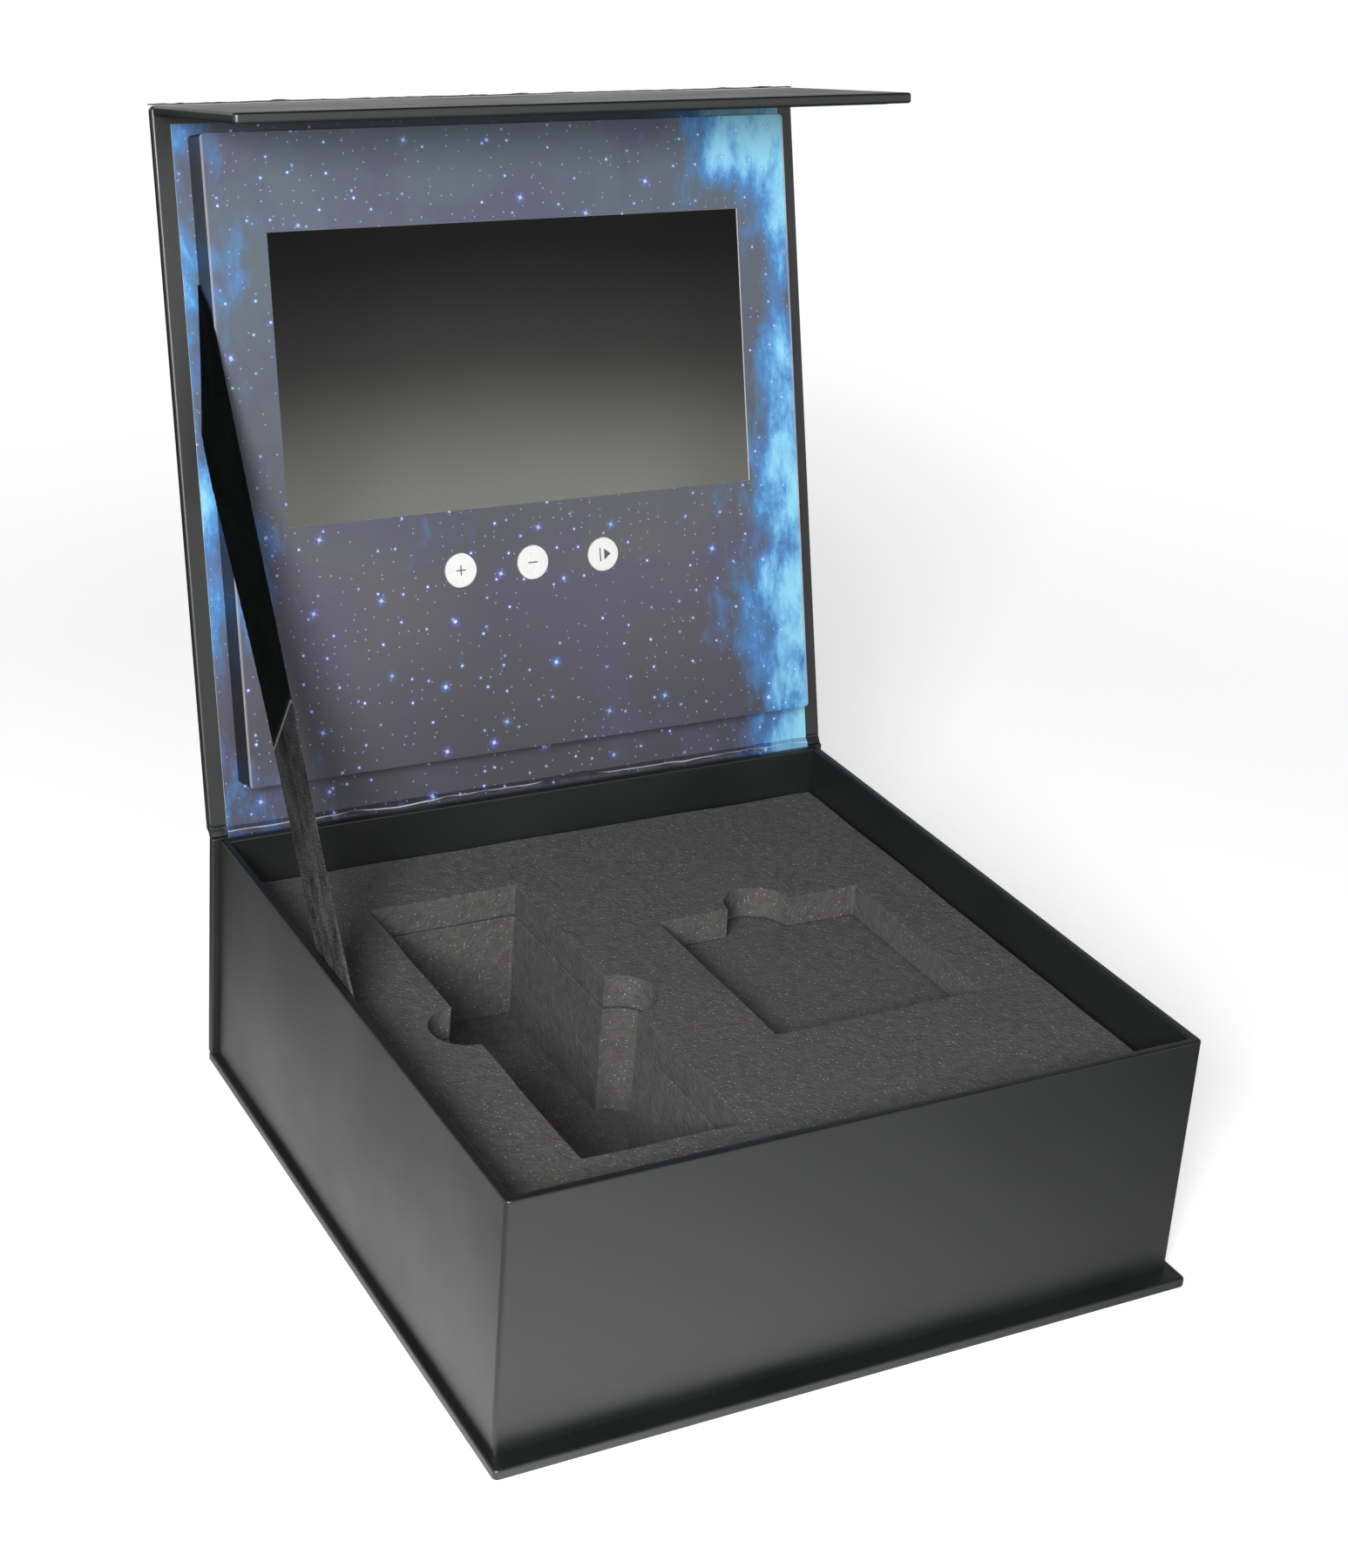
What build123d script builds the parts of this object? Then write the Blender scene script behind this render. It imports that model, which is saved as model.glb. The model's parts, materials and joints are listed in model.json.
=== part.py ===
from build123d import *
import math
import os

# Video presentation box: a rigid greyboard case whose spine, lid and closing flap are one wrapped
# cover, a tray with three sheets of foam, and a raised 7 inch video panel on the inside of the lid.
# Millimetres. X runs to the right, Y to the back and Z up. The origin is the middle of the underside
# of the base. The lid stands open, held by its ribbon, and the flap hangs forward from its top edge.

# Boards and papers
wrap_t = 0.3
case_board_t = 2.5
tray_board_t = 2.0
liner_t = 0.3
turn_in = 15.0
corner_r = 1.5
spine_corner_r = 0.8

# Tray and base, whose width and depth follow from the video panel that closes into them
tray_h = 72.4
ledge_front = 6.0
ledge_side = 2.3

# Foam, from the top sheet down
foam_below_rim = 15.1
foam_top_t = 10.4
foam_middle_t = 33.6
foam_side_gap = 0.7

# Pockets cut in the foam, as centres and sizes
pocket_y = 1.6
left_pocket_x = -43.6
left_pocket_w = 47.2
left_pocket_l = 141.4
right_pocket_x = 44.0
right_pocket_w = 68.0
right_pocket_l = 69.2
notch_r = 10.5
pocket_corner_r = 0.8

# Lid and its hinge
lid_gap = 0.3
lid_back_in = 0.1
lid_open = 104.75
hinge_out = 0.5
hinge_above_lid = 0.95
liner_border = 5.35

# Flap
flap_gap = 0.8
flap_lean = 5.2
flap_below_lid = 0.8
flap_above_ledge = 2.2
fold_strip_gap = 0.05

# Magnets and the steel discs that they meet
magnet_d = 14.0
magnet_t = 1.5
strike_t = 1.0
magnet_x = 62.0
magnet_below_rim = 16.0

# Video panel, v measured up the lid from its hinge edge
window_w = 154.1
window_h = 84.9
window_bottom = 87.4
panel_bottom = 12.4
panel_above_window = 28.4
panel_side_gap = 5.1
panel_front_gap = 2.2
panel_t = 10.8
panel_corner_r = 1.2
print_t = 0.2
face_card_t = 0.45
back_card_t = 1.5
frame_wall = 5.0

# Display module behind the window
lcd_edge_x = 5.45
lcd_edge_v = 7.55
lcd_side_gap = 7.1
lcd_t = 4.4
glass_margin = 1.4
glass_t = 2.0
pad_size = 18.0

# Buttons
button_d = 10.1
button_hole_d = 10.5
button_pitch = 23.9
button_below_window = 18.1
button_proud = 0.25
button_travel = 0.5
press_room = 0.25
flange_d = 12.5
flange_t = 0.9
stem_d = 3.4
well_d = 4.0
switch_size = 6.0
switch_t = 3.4
stem_in_well = 0.5

# Electronics on the back card
electronics_end_gap = 2.4
board_t = 1.0
key_board_h = 14.0
key_board_past_button = 9.1
spacer_l = 8.0
main_board_gap_x = 6.6
main_board_gap_v = 7.85
chip_size = 12.0
chip_pitch = 18.0
chip_t = 1.2
battery_w = 50.0
battery_t = 4.5
battery_wall_gap = 2.0
battery_top_gap = 8.3
speaker_d = 28.0
speaker_t = 4.5
speaker_x = 10.0
speaker_top_gap = 7.3
lead_d = 1.0
lead_pitch = 2.4
usb_w = 7.4
usb_t = 2.8
usb_l = 7.0
usb_clearance = 0.2
usb_up_board = 20.0
flex_w = 22.0
flex_t = 0.3
flex_under_lcd = 4.0
key_flex_w = 8.0
key_flex_reach = 3.0
sensor_w = 4.0
sensor_t = 1.6
sensor_x = 30.0
sensor_board_l = 10.0
sensor_magnet_d = 8.0

# Ribbon stay on the left side
ribbon_w = 19.0
ribbon_t = 0.5
ribbon_slope = 48.0
ribbon_foot_y = 18.6
ribbon_foot_depth = 30.0
ribbon_end_in = 2.4
hinge_paper_t = 0.6
liner_strip_t = 0.4
liner_strip_in = 1.5

# Worked out from the sizes above, across the box
wall_t = tray_board_t + 2 * wrap_t
cover_t = case_board_t + 2 * wrap_t
lcd_x = window_w / 2 + lcd_edge_x
frame_x = lcd_x + lcd_side_gap
panel_x = frame_x + frame_wall + print_t
cavity_x = panel_x + panel_side_gap
tray_x = cavity_x + wall_t
half_w = tray_x + ledge_side
foam_x = cavity_x - foam_side_gap
button_x = [-button_pitch, 0, button_pitch]

# Along the box: the closed panel fills the tray but for its gap at the front
window_top = window_bottom + window_h
panel_top_v = window_top + panel_above_window
spine_back = (lid_back_in + panel_top_v + panel_front_gap + wall_t + ledge_front) / 2
base_front = -spine_back
tray_back = spine_back - wall_t
tray_front = base_front + ledge_front
cavity_front = tray_front + wall_t
cavity_back = tray_back - wall_t
foam_front = cavity_front + foam_side_gap
foam_back = cavity_back - foam_side_gap
lid_back = spine_back - lid_back_in
lid_front = tray_front - flap_gap - cover_t
lid_l = lid_back - lid_front
panel_bottom_y = lid_back - panel_bottom
panel_top_y = lid_back - panel_top_v

# Heights
base_top = cover_t
rim = base_top + tray_h
floor_top = base_top + tray_board_t
foam_z3 = rim - foam_below_rim
foam_z2 = foam_z3 - foam_top_t
foam_z1 = foam_z2 - foam_middle_t
lid_inner = rim + lid_gap + liner_t
flap_top = lid_inner - flap_below_lid
flap_bottom = base_top + flap_above_ledge
flap_l = flap_top - flap_bottom
magnet_z = rim - magnet_below_rim

# Hinge of the lid and fold of the flap, with the lid closed
hinge_y = spine_back + hinge_out
hinge_z = lid_inner + hinge_above_lid
hinge_axis = Axis((0, hinge_y, hinge_z), (1, 0, 0))
fold_z = (lid_inner + flap_top) / 2
fold_axis = Axis((0, lid_front, fold_z), (1, 0, 0))

# Inside the panel: v up the lid, w in from the lid's inner face
card_floor_w = liner_t + back_card_t
card_under_w = panel_t - print_t - face_card_t
frame_bottom_v = panel_bottom + print_t + frame_wall
frame_top_v = panel_top_v - print_t - frame_wall
glass_x = window_w / 2 + glass_margin
glass_bottom = window_bottom - glass_margin
glass_top = window_top + glass_margin
lcd_bottom = window_bottom - lcd_edge_v
lcd_top = window_top + lcd_edge_v
lcd_back_w = card_under_w - lcd_t
button_v = window_bottom - button_below_window
flange_w = card_under_w - flange_t
switch_top_w = flange_w - button_travel - press_room
key_board_w = switch_top_w - switch_t - board_t
key_board_bottom = button_v - key_board_h / 2
key_board_top = button_v + key_board_h / 2
board_top_w = card_floor_w + board_t
key_board_x = button_pitch + key_board_past_button
main_left = key_board_x + main_board_gap_x
electronics_bottom = frame_bottom_v + electronics_end_gap
main_top = lcd_bottom - main_board_gap_v
usb_v = electronics_bottom + usb_up_board


def block(x0, x1, y0, y1, z0, z1):
    """A box between two corners."""
    return Pos((x0 + x1) / 2, (y0 + y1) / 2, (z0 + z1) / 2) * Box(x1 - x0, y1 - y0, z1 - z0)


def slab(x0, x1, y0, y1, z0, z1, radius):
    """A box whose four upright edges are rounded."""
    outline = Pos((x0 + x1) / 2, (y0 + y1) / 2, z0) * RectangleRounded(x1 - x0, y1 - y0, radius)
    return extrude(outline, z1 - z0)


def on_lid(x0, x1, v0, v1, w0, w1):
    """A box on the closed lid: v up the lid from its hinge edge, w in from its inner face."""
    return block(x0, x1, lid_back - v1, lid_back - v0, lid_inner - w1, lid_inner - w0)


def disc_on_lid(x, v, diameter, w0, w1):
    """A disc square to the closed lid."""
    middle = Pos(x, lid_back - v, lid_inner - (w0 + w1) / 2)
    return middle * Cylinder(diameter / 2, w1 - w0)


def opened(shape):
    """Turns a piece of the closed lid about the hinge to where the ribbon holds it."""
    return shape.rotate(hinge_axis, -lid_open)


def leaned(shape):
    """Turns a piece of the closed flap about its fold, then opens it with the lid."""
    return opened(shape.rotate(fold_axis, flap_lean))


def save(name, *shapes):
    """Writes one sub-part, which may hold several separate solids."""
    solids = [solid for shape in shapes for solid in shape.solids()]
    piece = solids[0] if len(solids) == 1 else Compound(children=solids)
    piece.label = name
    export_step(piece, f"parts/{name}.step")


os.makedirs("parts", exist_ok=True)


# Base: a greyboard with its wrap, which is turned in over the top edges
def make_base():
    outside = slab(-half_w, half_w, base_front, spine_back, 0, base_top, corner_r)
    board = slab(-half_w + wrap_t, half_w - wrap_t, base_front + wrap_t, spine_back - wrap_t,
                 wrap_t, base_top, corner_r - wrap_t)
    margin = block(-half_w + turn_in, half_w - turn_in, base_front + turn_in, spine_back - turn_in,
                   base_top - wrap_t, base_top)
    board = board - (slab(-half_w, half_w, base_front, spine_back, base_top - wrap_t, base_top,
                          corner_r) - margin)
    save("base_board", board)
    save("base_wrap", outside - board)


# Spine: the narrow upright cover at the back, which the tray is glued to
def make_spine():
    outside = slab(-half_w, half_w, tray_back, spine_back, base_top, rim, spine_corner_r)
    board = slab(-half_w + wrap_t, half_w - wrap_t, tray_back + wrap_t, spine_back - wrap_t,
                 base_top, rim - wrap_t, spine_corner_r - wrap_t)
    save("spine_board", board)
    save("spine_wrap", outside - board)


# Tray: four walls and a floor, with one paper over the outside, the rim and the inside
def make_tray():
    outside = slab(-tray_x, tray_x, tray_front, tray_back, base_top, rim, corner_r)
    core = slab(-tray_x + wrap_t, tray_x - wrap_t, tray_front + wrap_t, tray_back - wrap_t,
                base_top, rim - wrap_t, corner_r - wrap_t)
    cavity = block(-cavity_x, cavity_x, cavity_front, cavity_back, base_top, rim)
    hollow = block(-cavity_x - wrap_t, cavity_x + wrap_t, cavity_front - wrap_t, cavity_back + wrap_t,
                   base_top, rim)
    walls = core - hollow
    front_part = block(-tray_x, tray_x, tray_front, cavity_front - wrap_t, base_top, rim)
    back_part = block(-tray_x, tray_x, cavity_back + wrap_t, tray_back, base_top, rim)
    left_part = block(-tray_x, -cavity_x - wrap_t, cavity_front - wrap_t, cavity_back + wrap_t,
                      base_top, rim)
    right_part = mirror(left_part, Plane.YZ)
    strikes = [
        Pos(side * magnet_x, tray_front + wrap_t + strike_t / 2, magnet_z) * Rot(90, 0, 0)
        * Cylinder(magnet_d / 2, strike_t)
        for side in (-1, 1)
    ]
    trigger = (Pos(sensor_x, cavity_front - wrap_t - magnet_t / 2, rim - sensor_magnet_d)
               * Rot(90, 0, 0) * Cylinder(sensor_magnet_d / 2, magnet_t))
    save("tray_front_wall", (walls & front_part) - strikes[0] - strikes[1] - trigger)
    save("tray_back_wall", walls & back_part)
    save("tray_left_wall", walls & left_part)
    save("tray_right_wall", walls & right_part)
    tray_floor = block(-cavity_x - wrap_t, cavity_x + wrap_t, cavity_front - wrap_t,
                       cavity_back + wrap_t, base_top, floor_top)
    save("tray_floor", tray_floor)
    save("tray_wrap", outside - cavity - walls - tray_floor)
    save("strike_plates", *strikes)
    save("sensor_magnet", trigger)


def pocket(x, width, length, z0, z1):
    """A square-cornered pocket through a sheet of foam."""
    return slab(x - width / 2, x + width / 2, pocket_y - length / 2, pocket_y + length / 2, z0, z1,
                pocket_corner_r)


def notch(x, y, z0, z1):
    """A round finger notch, centred on the edge of a pocket."""
    return Pos(x, y, (z0 + z1) / 2) * Cylinder(notch_r, z1 - z0)


def left_cut(z0, z1):
    """The long pocket with a finger notch in the middle of each long side."""
    cut = pocket(left_pocket_x, left_pocket_w, left_pocket_l, z0, z1)
    for side in (-1, 1):
        cut = cut + notch(left_pocket_x + side * left_pocket_w / 2, pocket_y, z0, z1)
    return cut


def right_cut(z0, z1):
    """The square pocket with a finger notch in the middle of its back edge."""
    cut = pocket(right_pocket_x, right_pocket_w, right_pocket_l, z0, z1)
    return cut + notch(right_pocket_x, pocket_y + right_pocket_l / 2, z0, z1)


# Foam: a plain sheet, a thick one with the long pocket, and a top one with both pockets
def make_foam():
    def sheet(z0, z1):
        return block(-foam_x, foam_x, foam_front, foam_back, z0, z1)

    save("foam_base", sheet(floor_top, foam_z1))
    save("foam_middle", sheet(foam_z1, foam_z2) - left_cut(foam_z1, foam_z2))
    save("foam_top", sheet(foam_z2, foam_z3) - left_cut(foam_z2, foam_z3) - right_cut(foam_z2, foam_z3))


def wrapped_cover(x, y0, y1, z0, z1, inside_up):
    """A cover board and its wrap, which leaves a window on the inside face, as the two solids."""
    outside = slab(-x, x, y0, y1, z0, z1, corner_r)
    board = slab(-x + wrap_t, x - wrap_t, y0 + wrap_t, y1 - wrap_t, z0 + wrap_t, z1 - wrap_t,
                 corner_r - wrap_t)
    face = (z1 - wrap_t, z1) if inside_up else (z0, z0 + wrap_t)
    window = block(-x + turn_in, x - turn_in, y0 + turn_in, y1 - turn_in, *face)
    return board, outside - board - window, window


# Lid: board, wrap and the printed liner that hides the turned-in edges
def make_lid():
    board, wrap, window = wrapped_cover(half_w, lid_front, lid_back, lid_inner,
                                        lid_inner + cover_t, False)
    liner = on_lid(-half_w + liner_border, half_w - liner_border, 0, lid_l - liner_border, 0, liner_t)
    save("lid_board", opened(board))
    save("lid_wrap", opened(wrap))
    save("lid_liner", opened(liner + window))


# Flap: built hanging from the front edge of the closed lid
def make_flap():
    inner_y = lid_front + cover_t
    board, wrap, window = wrapped_cover(half_w, 0, flap_l, 0, cover_t, True)
    hang = Location((0, lid_front, flap_top), (-90, 0, 0))
    magnets = [
        Pos(side * magnet_x, inner_y - wrap_t - magnet_t / 2, magnet_z) * Rot(90, 0, 0)
        * Cylinder(magnet_d / 2, magnet_t)
        for side in (-1, 1)
    ]
    liner = block(-half_w + liner_border, half_w - liner_border, inner_y, inner_y + liner_t,
                  flap_bottom + liner_border, flap_top - liner_border)
    save("flap_board", leaned(hang * board - magnets[0] - magnets[1]))
    save("flap_wrap", leaned(hang * wrap))
    save("flap_liner", leaned(liner + hang * window))
    save("flap_magnets", *[leaned(magnet) for magnet in magnets])
    strip = block(-half_w, half_w, lid_front - wrap_t, lid_front, fold_z + fold_strip_gap,
                  lid_inner + cover_t)
    save("flap_fold_paper", leaned(strip))


def panel_slab(inset, w0, w1):
    """A layer of the video panel, set in from its outline on all four sides."""
    return slab(-panel_x + inset, panel_x - inset, panel_top_y + inset, panel_bottom_y - inset,
                lid_inner - w1, lid_inner - w0, panel_corner_r - inset)


# Video panel: back card, card frame, face card with its window, and the print folded round them
def make_panel():
    window = on_lid(-window_w / 2, window_w / 2, window_bottom, window_top, card_under_w, panel_t)
    holes = [disc_on_lid(x, button_v, button_hole_d, card_under_w, panel_t) for x in button_x]
    usb_hole = on_lid(frame_x, panel_x, usb_v - usb_w / 2 - usb_clearance,
                      usb_v + usb_w / 2 + usb_clearance, board_top_w - usb_clearance,
                      board_top_w + usb_t + usb_clearance)
    cuts = [window, usb_hole, *holes]
    core = panel_slab(print_t, liner_t, panel_t - print_t)
    inside = on_lid(-frame_x, frame_x, frame_bottom_v, frame_top_v, card_floor_w, card_under_w)
    save("panel_back_card", opened(panel_slab(print_t, liner_t, card_floor_w)))
    save("panel_frame", opened(panel_slab(print_t, card_floor_w, card_under_w) - inside - usb_hole))
    save("panel_face_card", opened(panel_slab(print_t, card_under_w, panel_t - print_t) - cuts))
    save("panel_print_wrap", opened(panel_slab(0, liner_t, panel_t) - core - cuts))


# Display: a steel frame round the glass, the backlight under it, and pads down to the back card
def make_display():
    glass_w = card_under_w - glass_t
    body = on_lid(-lcd_x, lcd_x, lcd_bottom, lcd_top, lcd_back_w, card_under_w)
    glass = on_lid(-glass_x, glass_x, glass_bottom, glass_top, glass_w, card_under_w)
    backlight = on_lid(-glass_x, glass_x, glass_bottom, glass_top, lcd_back_w, glass_w)
    pads = [
        on_lid(x - pad_size / 2, x + pad_size / 2, v - pad_size / 2, v + pad_size / 2,
               card_floor_w, lcd_back_w)
        for x in (-lcd_x + pad_size, lcd_x - pad_size)
        for v in (lcd_bottom + pad_size, lcd_top - pad_size)
    ]
    save("display_frame", opened(body - glass - backlight))
    save("display_glass", opened(glass))
    save("display_backlight", opened(backlight))
    save("display_pads", *[opened(pad) for pad in pads])


def lead(x0, x1, v):
    """A round wire along X that lies on the back card."""
    middle = Pos((x0 + x1) / 2, lid_back - v, lid_inner - card_floor_w - lead_d / 2)
    return middle * Rot(0, 90, 0) * Cylinder(lead_d / 2, x1 - x0)


# Electronics: everything below the display lies on the back card
def make_electronics():
    main_board = on_lid(main_left, frame_x, electronics_bottom, main_top, card_floor_w, board_top_w)
    chip_v = (electronics_bottom + main_top) / 2
    chips = [
        on_lid(x - chip_size / 2, x + chip_size / 2, chip_v - chip_size / 2, chip_v + chip_size / 2,
               board_top_w, board_top_w + chip_t)
        for x in (main_left + chip_size, main_left + chip_size + chip_pitch)
    ]
    socket_x = frame_x + frame_wall
    socket = on_lid(socket_x - usb_l, socket_x, usb_v - usb_w / 2, usb_v + usb_w / 2,
                    board_top_w, board_top_w + usb_t)
    save("main_board", opened(main_board))
    save("main_board_chips", *[opened(chip) for chip in chips])
    save("charging_socket", opened(socket))

    battery_left = -frame_x + battery_wall_gap
    battery_right = battery_left + battery_w
    battery = on_lid(battery_left, battery_right, electronics_bottom,
                     key_board_bottom - battery_top_gap, card_floor_w, card_floor_w + battery_t)
    speaker_v = key_board_bottom - speaker_top_gap - speaker_d / 2
    speaker = disc_on_lid(speaker_x, speaker_v, speaker_d, card_floor_w, card_floor_w + speaker_t)
    battery_leads = [lead(battery_right, main_left, electronics_bottom + lead_pitch * step)
                     for step in (0.5, 1.5)]
    speaker_leads = [lead(speaker_x, main_left, speaker_v + lead_pitch * side) - speaker
                     for side in (-0.5, 0.5)]
    save("battery", opened(battery))
    save("speaker", opened(speaker))
    save("battery_leads", *[opened(wire) for wire in battery_leads])
    save("speaker_leads", *[opened(wire) for wire in speaker_leads])

    flex_x = (main_left + frame_x) / 2
    flex_end = lcd_bottom + flex_under_lcd
    flex_flat = on_lid(flex_x - flex_w / 2, flex_x + flex_w / 2, main_top, flex_end,
                       card_floor_w, card_floor_w + flex_t)
    flex_rise = on_lid(flex_x - flex_w / 2, flex_x + flex_w / 2, flex_end - flex_t, flex_end,
                       card_floor_w, lcd_back_w)
    save("display_flex_cable", opened(flex_flat + flex_rise))

    sensor_board = on_lid(sensor_x - sensor_board_l / 2, sensor_x + sensor_board_l / 2,
                          frame_top_v - board_t, frame_top_v, card_floor_w, card_under_w)
    sensor = on_lid(sensor_x - sensor_w / 2, sensor_x + sensor_w / 2,
                    frame_top_v - board_t - sensor_t, frame_top_v - board_t,
                    card_under_w - sensor_w, card_under_w)
    save("lid_sensor_board", opened(sensor_board))
    save("lid_sensor", opened(sensor))


# Keys: three push switches on a narrow board, each with a well that its button's stem enters
def make_keys():
    key_board = on_lid(-key_board_x, key_board_x, key_board_bottom, key_board_top,
                       key_board_w, key_board_w + board_t)
    spacers = [
        on_lid(x - spacer_l / 2, x + spacer_l / 2, key_board_bottom, key_board_top,
               card_floor_w, key_board_w)
        for x in (-key_board_x + spacer_l / 2, key_board_x - spacer_l / 2)
    ]
    stem_end_w = switch_top_w - stem_in_well
    well_floor_w = stem_end_w - button_travel - press_room
    switches = []
    for x in button_x:
        body = on_lid(x - switch_size / 2, x + switch_size / 2, button_v - switch_size / 2,
                      button_v + switch_size / 2, key_board_w + board_t, switch_top_w)
        switches.append(body - disc_on_lid(x, button_v, well_d, well_floor_w, switch_top_w))
    flex_end = main_left + key_flex_reach
    flex_top = key_board_bottom + key_flex_w
    key_flex = (on_lid(key_board_x, flex_end, key_board_bottom, flex_top,
                       key_board_w, key_board_w + flex_t)
                + on_lid(flex_end - flex_t, flex_end, key_board_bottom, flex_top,
                         board_top_w, key_board_w + flex_t))
    save("key_board", opened(key_board))
    save("key_board_spacers", *[opened(spacer) for spacer in spacers])
    save("button_switches", *[opened(switch) for switch in switches])
    save("key_flex_cable", opened(key_flex))

    for name, x in zip(("button_plus", "button_minus", "button_play"), button_x):
        cap = disc_on_lid(x, button_v, button_d, card_under_w, panel_t + button_proud)
        flange = disc_on_lid(x, button_v, flange_d, flange_w, card_under_w)
        stem = disc_on_lid(x, button_v, stem_d, stem_end_w, flange_w)
        save(name, opened(cap + flange + stem))


def at_rest(y, z):
    """Where a point of the closed lid, seen from the right, comes to with the lid open."""
    turn = math.radians(-lid_open)
    across = y - hinge_y
    up = z - hinge_z
    return (hinge_y + across * math.cos(turn) - up * math.sin(turn),
            hinge_z + across * math.sin(turn) + up * math.cos(turn))


def strip_along_x(x0, x1, points):
    """A strip of one section, given as (y, z) points, from x0 to x1."""
    outline = Wire.make_polygon([Vector(x0, y, z) for y, z in points], close=True)
    return extrude(Face(outline), amount=x1 - x0, dir=(1, 0, 0))


# Hinge: the outer paper from the spine to the lid, and the liner's own strip inside it
def make_hinge_papers():
    lid_outer = lid_inner + cover_t
    outer = [(spine_back - hinge_paper_t, rim), (spine_back, rim), at_rest(lid_back, lid_outer),
             at_rest(lid_back, lid_outer - hinge_paper_t)]
    strip_y = spine_back - liner_strip_in
    inner = [(strip_y - liner_strip_t, rim), (strip_y, rim), at_rest(lid_back, lid_inner),
             at_rest(lid_back, lid_inner - liner_t)]
    save("lid_fold_paper", strip_along_x(-half_w, half_w, outer))
    save("liner_hinge_strip", strip_along_x(-half_w + liner_border, half_w - liner_border, inner))


def on_liner(y, z):
    """Follows the ribbon's slope from a point to the liner of the open lid."""
    foot_y, foot_z = at_rest(lid_back, lid_inner - liner_t)
    lean = math.radians(lid_open - 90)
    slope = math.radians(ribbon_slope)
    face_y, face_z = -math.cos(lean), math.sin(lean)
    run = ((foot_y - y) * face_y + (foot_z - z) * face_z)
    run /= math.cos(slope) * face_y + math.sin(slope) * face_z
    return y + run * math.cos(slope), z + run * math.sin(slope)


# Ribbon stay: glued to the left wall behind the foam, pulled straight, its end under the panel
def make_ribbon():
    slope = math.radians(ribbon_slope)
    half_run = ribbon_w / 2 / math.sin(slope)
    front = ribbon_foot_y - half_run
    back = ribbon_foot_y + half_run
    drop = ribbon_foot_depth / math.tan(slope)
    wall_x = -cavity_x
    foot = strip_along_x(wall_x, wall_x + ribbon_t, [
        (front, rim), (back, rim), (back - drop, rim - ribbon_foot_depth),
        (front - drop, rim - ribbon_foot_depth)])
    top_front = on_liner(front, rim)
    top_back = on_liner(back, rim)
    tilt = ribbon_end_in / (top_front[1] - rim)
    outline = [(front, rim), (back, rim), top_back, top_front]
    corners = [Vector(wall_x + tilt * (z - rim), y, z) for y, z in outline]
    free = extrude(Face(Wire.make_polygon(corners, close=True)), amount=ribbon_t, dir=(1, 0, 0))
    hinge_edge = Vector(0, *at_rest(lid_back, lid_inner - liner_t))
    v_front = (Vector(0, *top_front) - hinge_edge).length
    v_back = (Vector(0, *top_back) - hinge_edge).length
    tab = opened(on_lid(corners[2].X, -panel_x, v_back, v_front, liner_t, liner_t + ribbon_t))
    save("ribbon_stay", foot + free + tab)


make_base()
make_spine()
make_tray()
make_foam()
make_lid()
make_flap()
make_panel()
make_display()
make_electronics()
make_keys()
make_hinge_papers()
make_ribbon()
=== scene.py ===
import json
import math
from functools import partial

import bmesh
import bpy
from mathutils import Matrix, Vector, noise


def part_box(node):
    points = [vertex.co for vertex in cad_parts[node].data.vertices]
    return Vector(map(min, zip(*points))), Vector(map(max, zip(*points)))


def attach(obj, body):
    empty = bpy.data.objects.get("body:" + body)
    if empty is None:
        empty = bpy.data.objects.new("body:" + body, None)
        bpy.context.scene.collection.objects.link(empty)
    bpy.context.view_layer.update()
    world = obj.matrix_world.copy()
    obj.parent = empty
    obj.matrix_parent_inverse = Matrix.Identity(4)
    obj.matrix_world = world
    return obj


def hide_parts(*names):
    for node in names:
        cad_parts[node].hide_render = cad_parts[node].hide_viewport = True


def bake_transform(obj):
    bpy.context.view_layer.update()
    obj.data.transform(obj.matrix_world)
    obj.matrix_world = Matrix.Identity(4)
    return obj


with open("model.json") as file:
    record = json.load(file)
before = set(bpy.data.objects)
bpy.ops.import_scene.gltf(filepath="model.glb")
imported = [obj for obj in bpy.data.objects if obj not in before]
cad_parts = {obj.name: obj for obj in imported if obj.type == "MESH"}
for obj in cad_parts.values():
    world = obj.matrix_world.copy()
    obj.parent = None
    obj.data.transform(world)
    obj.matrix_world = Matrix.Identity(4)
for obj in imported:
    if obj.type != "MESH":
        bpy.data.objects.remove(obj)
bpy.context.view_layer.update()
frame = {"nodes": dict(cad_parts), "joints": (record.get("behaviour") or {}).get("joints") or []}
mm = 0.001
joints = {joint["name"]: joint for joint in frame["joints"]}


# Places: the lid's pieces are built on the closed lid, then turned to where the ribbon holds it
def turnAbout(joint, degrees):
    place = Vector(joint["pos_m"])
    turn = Matrix.Rotation(math.radians(degrees), 4, Vector(joint["axis"]))
    return Matrix.Translation(place) @ turn @ Matrix.Translation(-place)


atBase = Matrix.Identity(4)
onLid = turnAbout(joints["lid_hinge"], -joints["lid_hinge"]["range_deg"][1])
onFlap = turnAbout(joints["flap_fold_hinge"], -joints["flap_fold_hinge"]["range_deg"][1]) @ onLid
lidLean = math.radians(joints["lid_hinge"]["range_deg"][1] - 90)


def nodeBox(nodeName, place=atBase):
    # Lowest and highest corner of a CAD node, before its piece was turned into place
    back = place.inverted()
    points = [back @ vertex.co for vertex in frame["nodes"][nodeName].data.vertices]
    low = Vector([min(point[i] for point in points) for i in range(3)])
    high = Vector([max(point[i] for point in points) for i in range(3)])
    return low, high


# Colours are written as sRGB hex and turned to the linear values that the shader wants
def linearColour(hexText):
    parts = [int(hexText[i:i + 2], 16) / 255 for i in (1, 3, 5)]
    linear = [c / 12.92 if c <= 0.04045 else ((c + 0.055) / 1.055) ** 2.4 for c in parts]
    return (*linear, 1.0)


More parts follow.
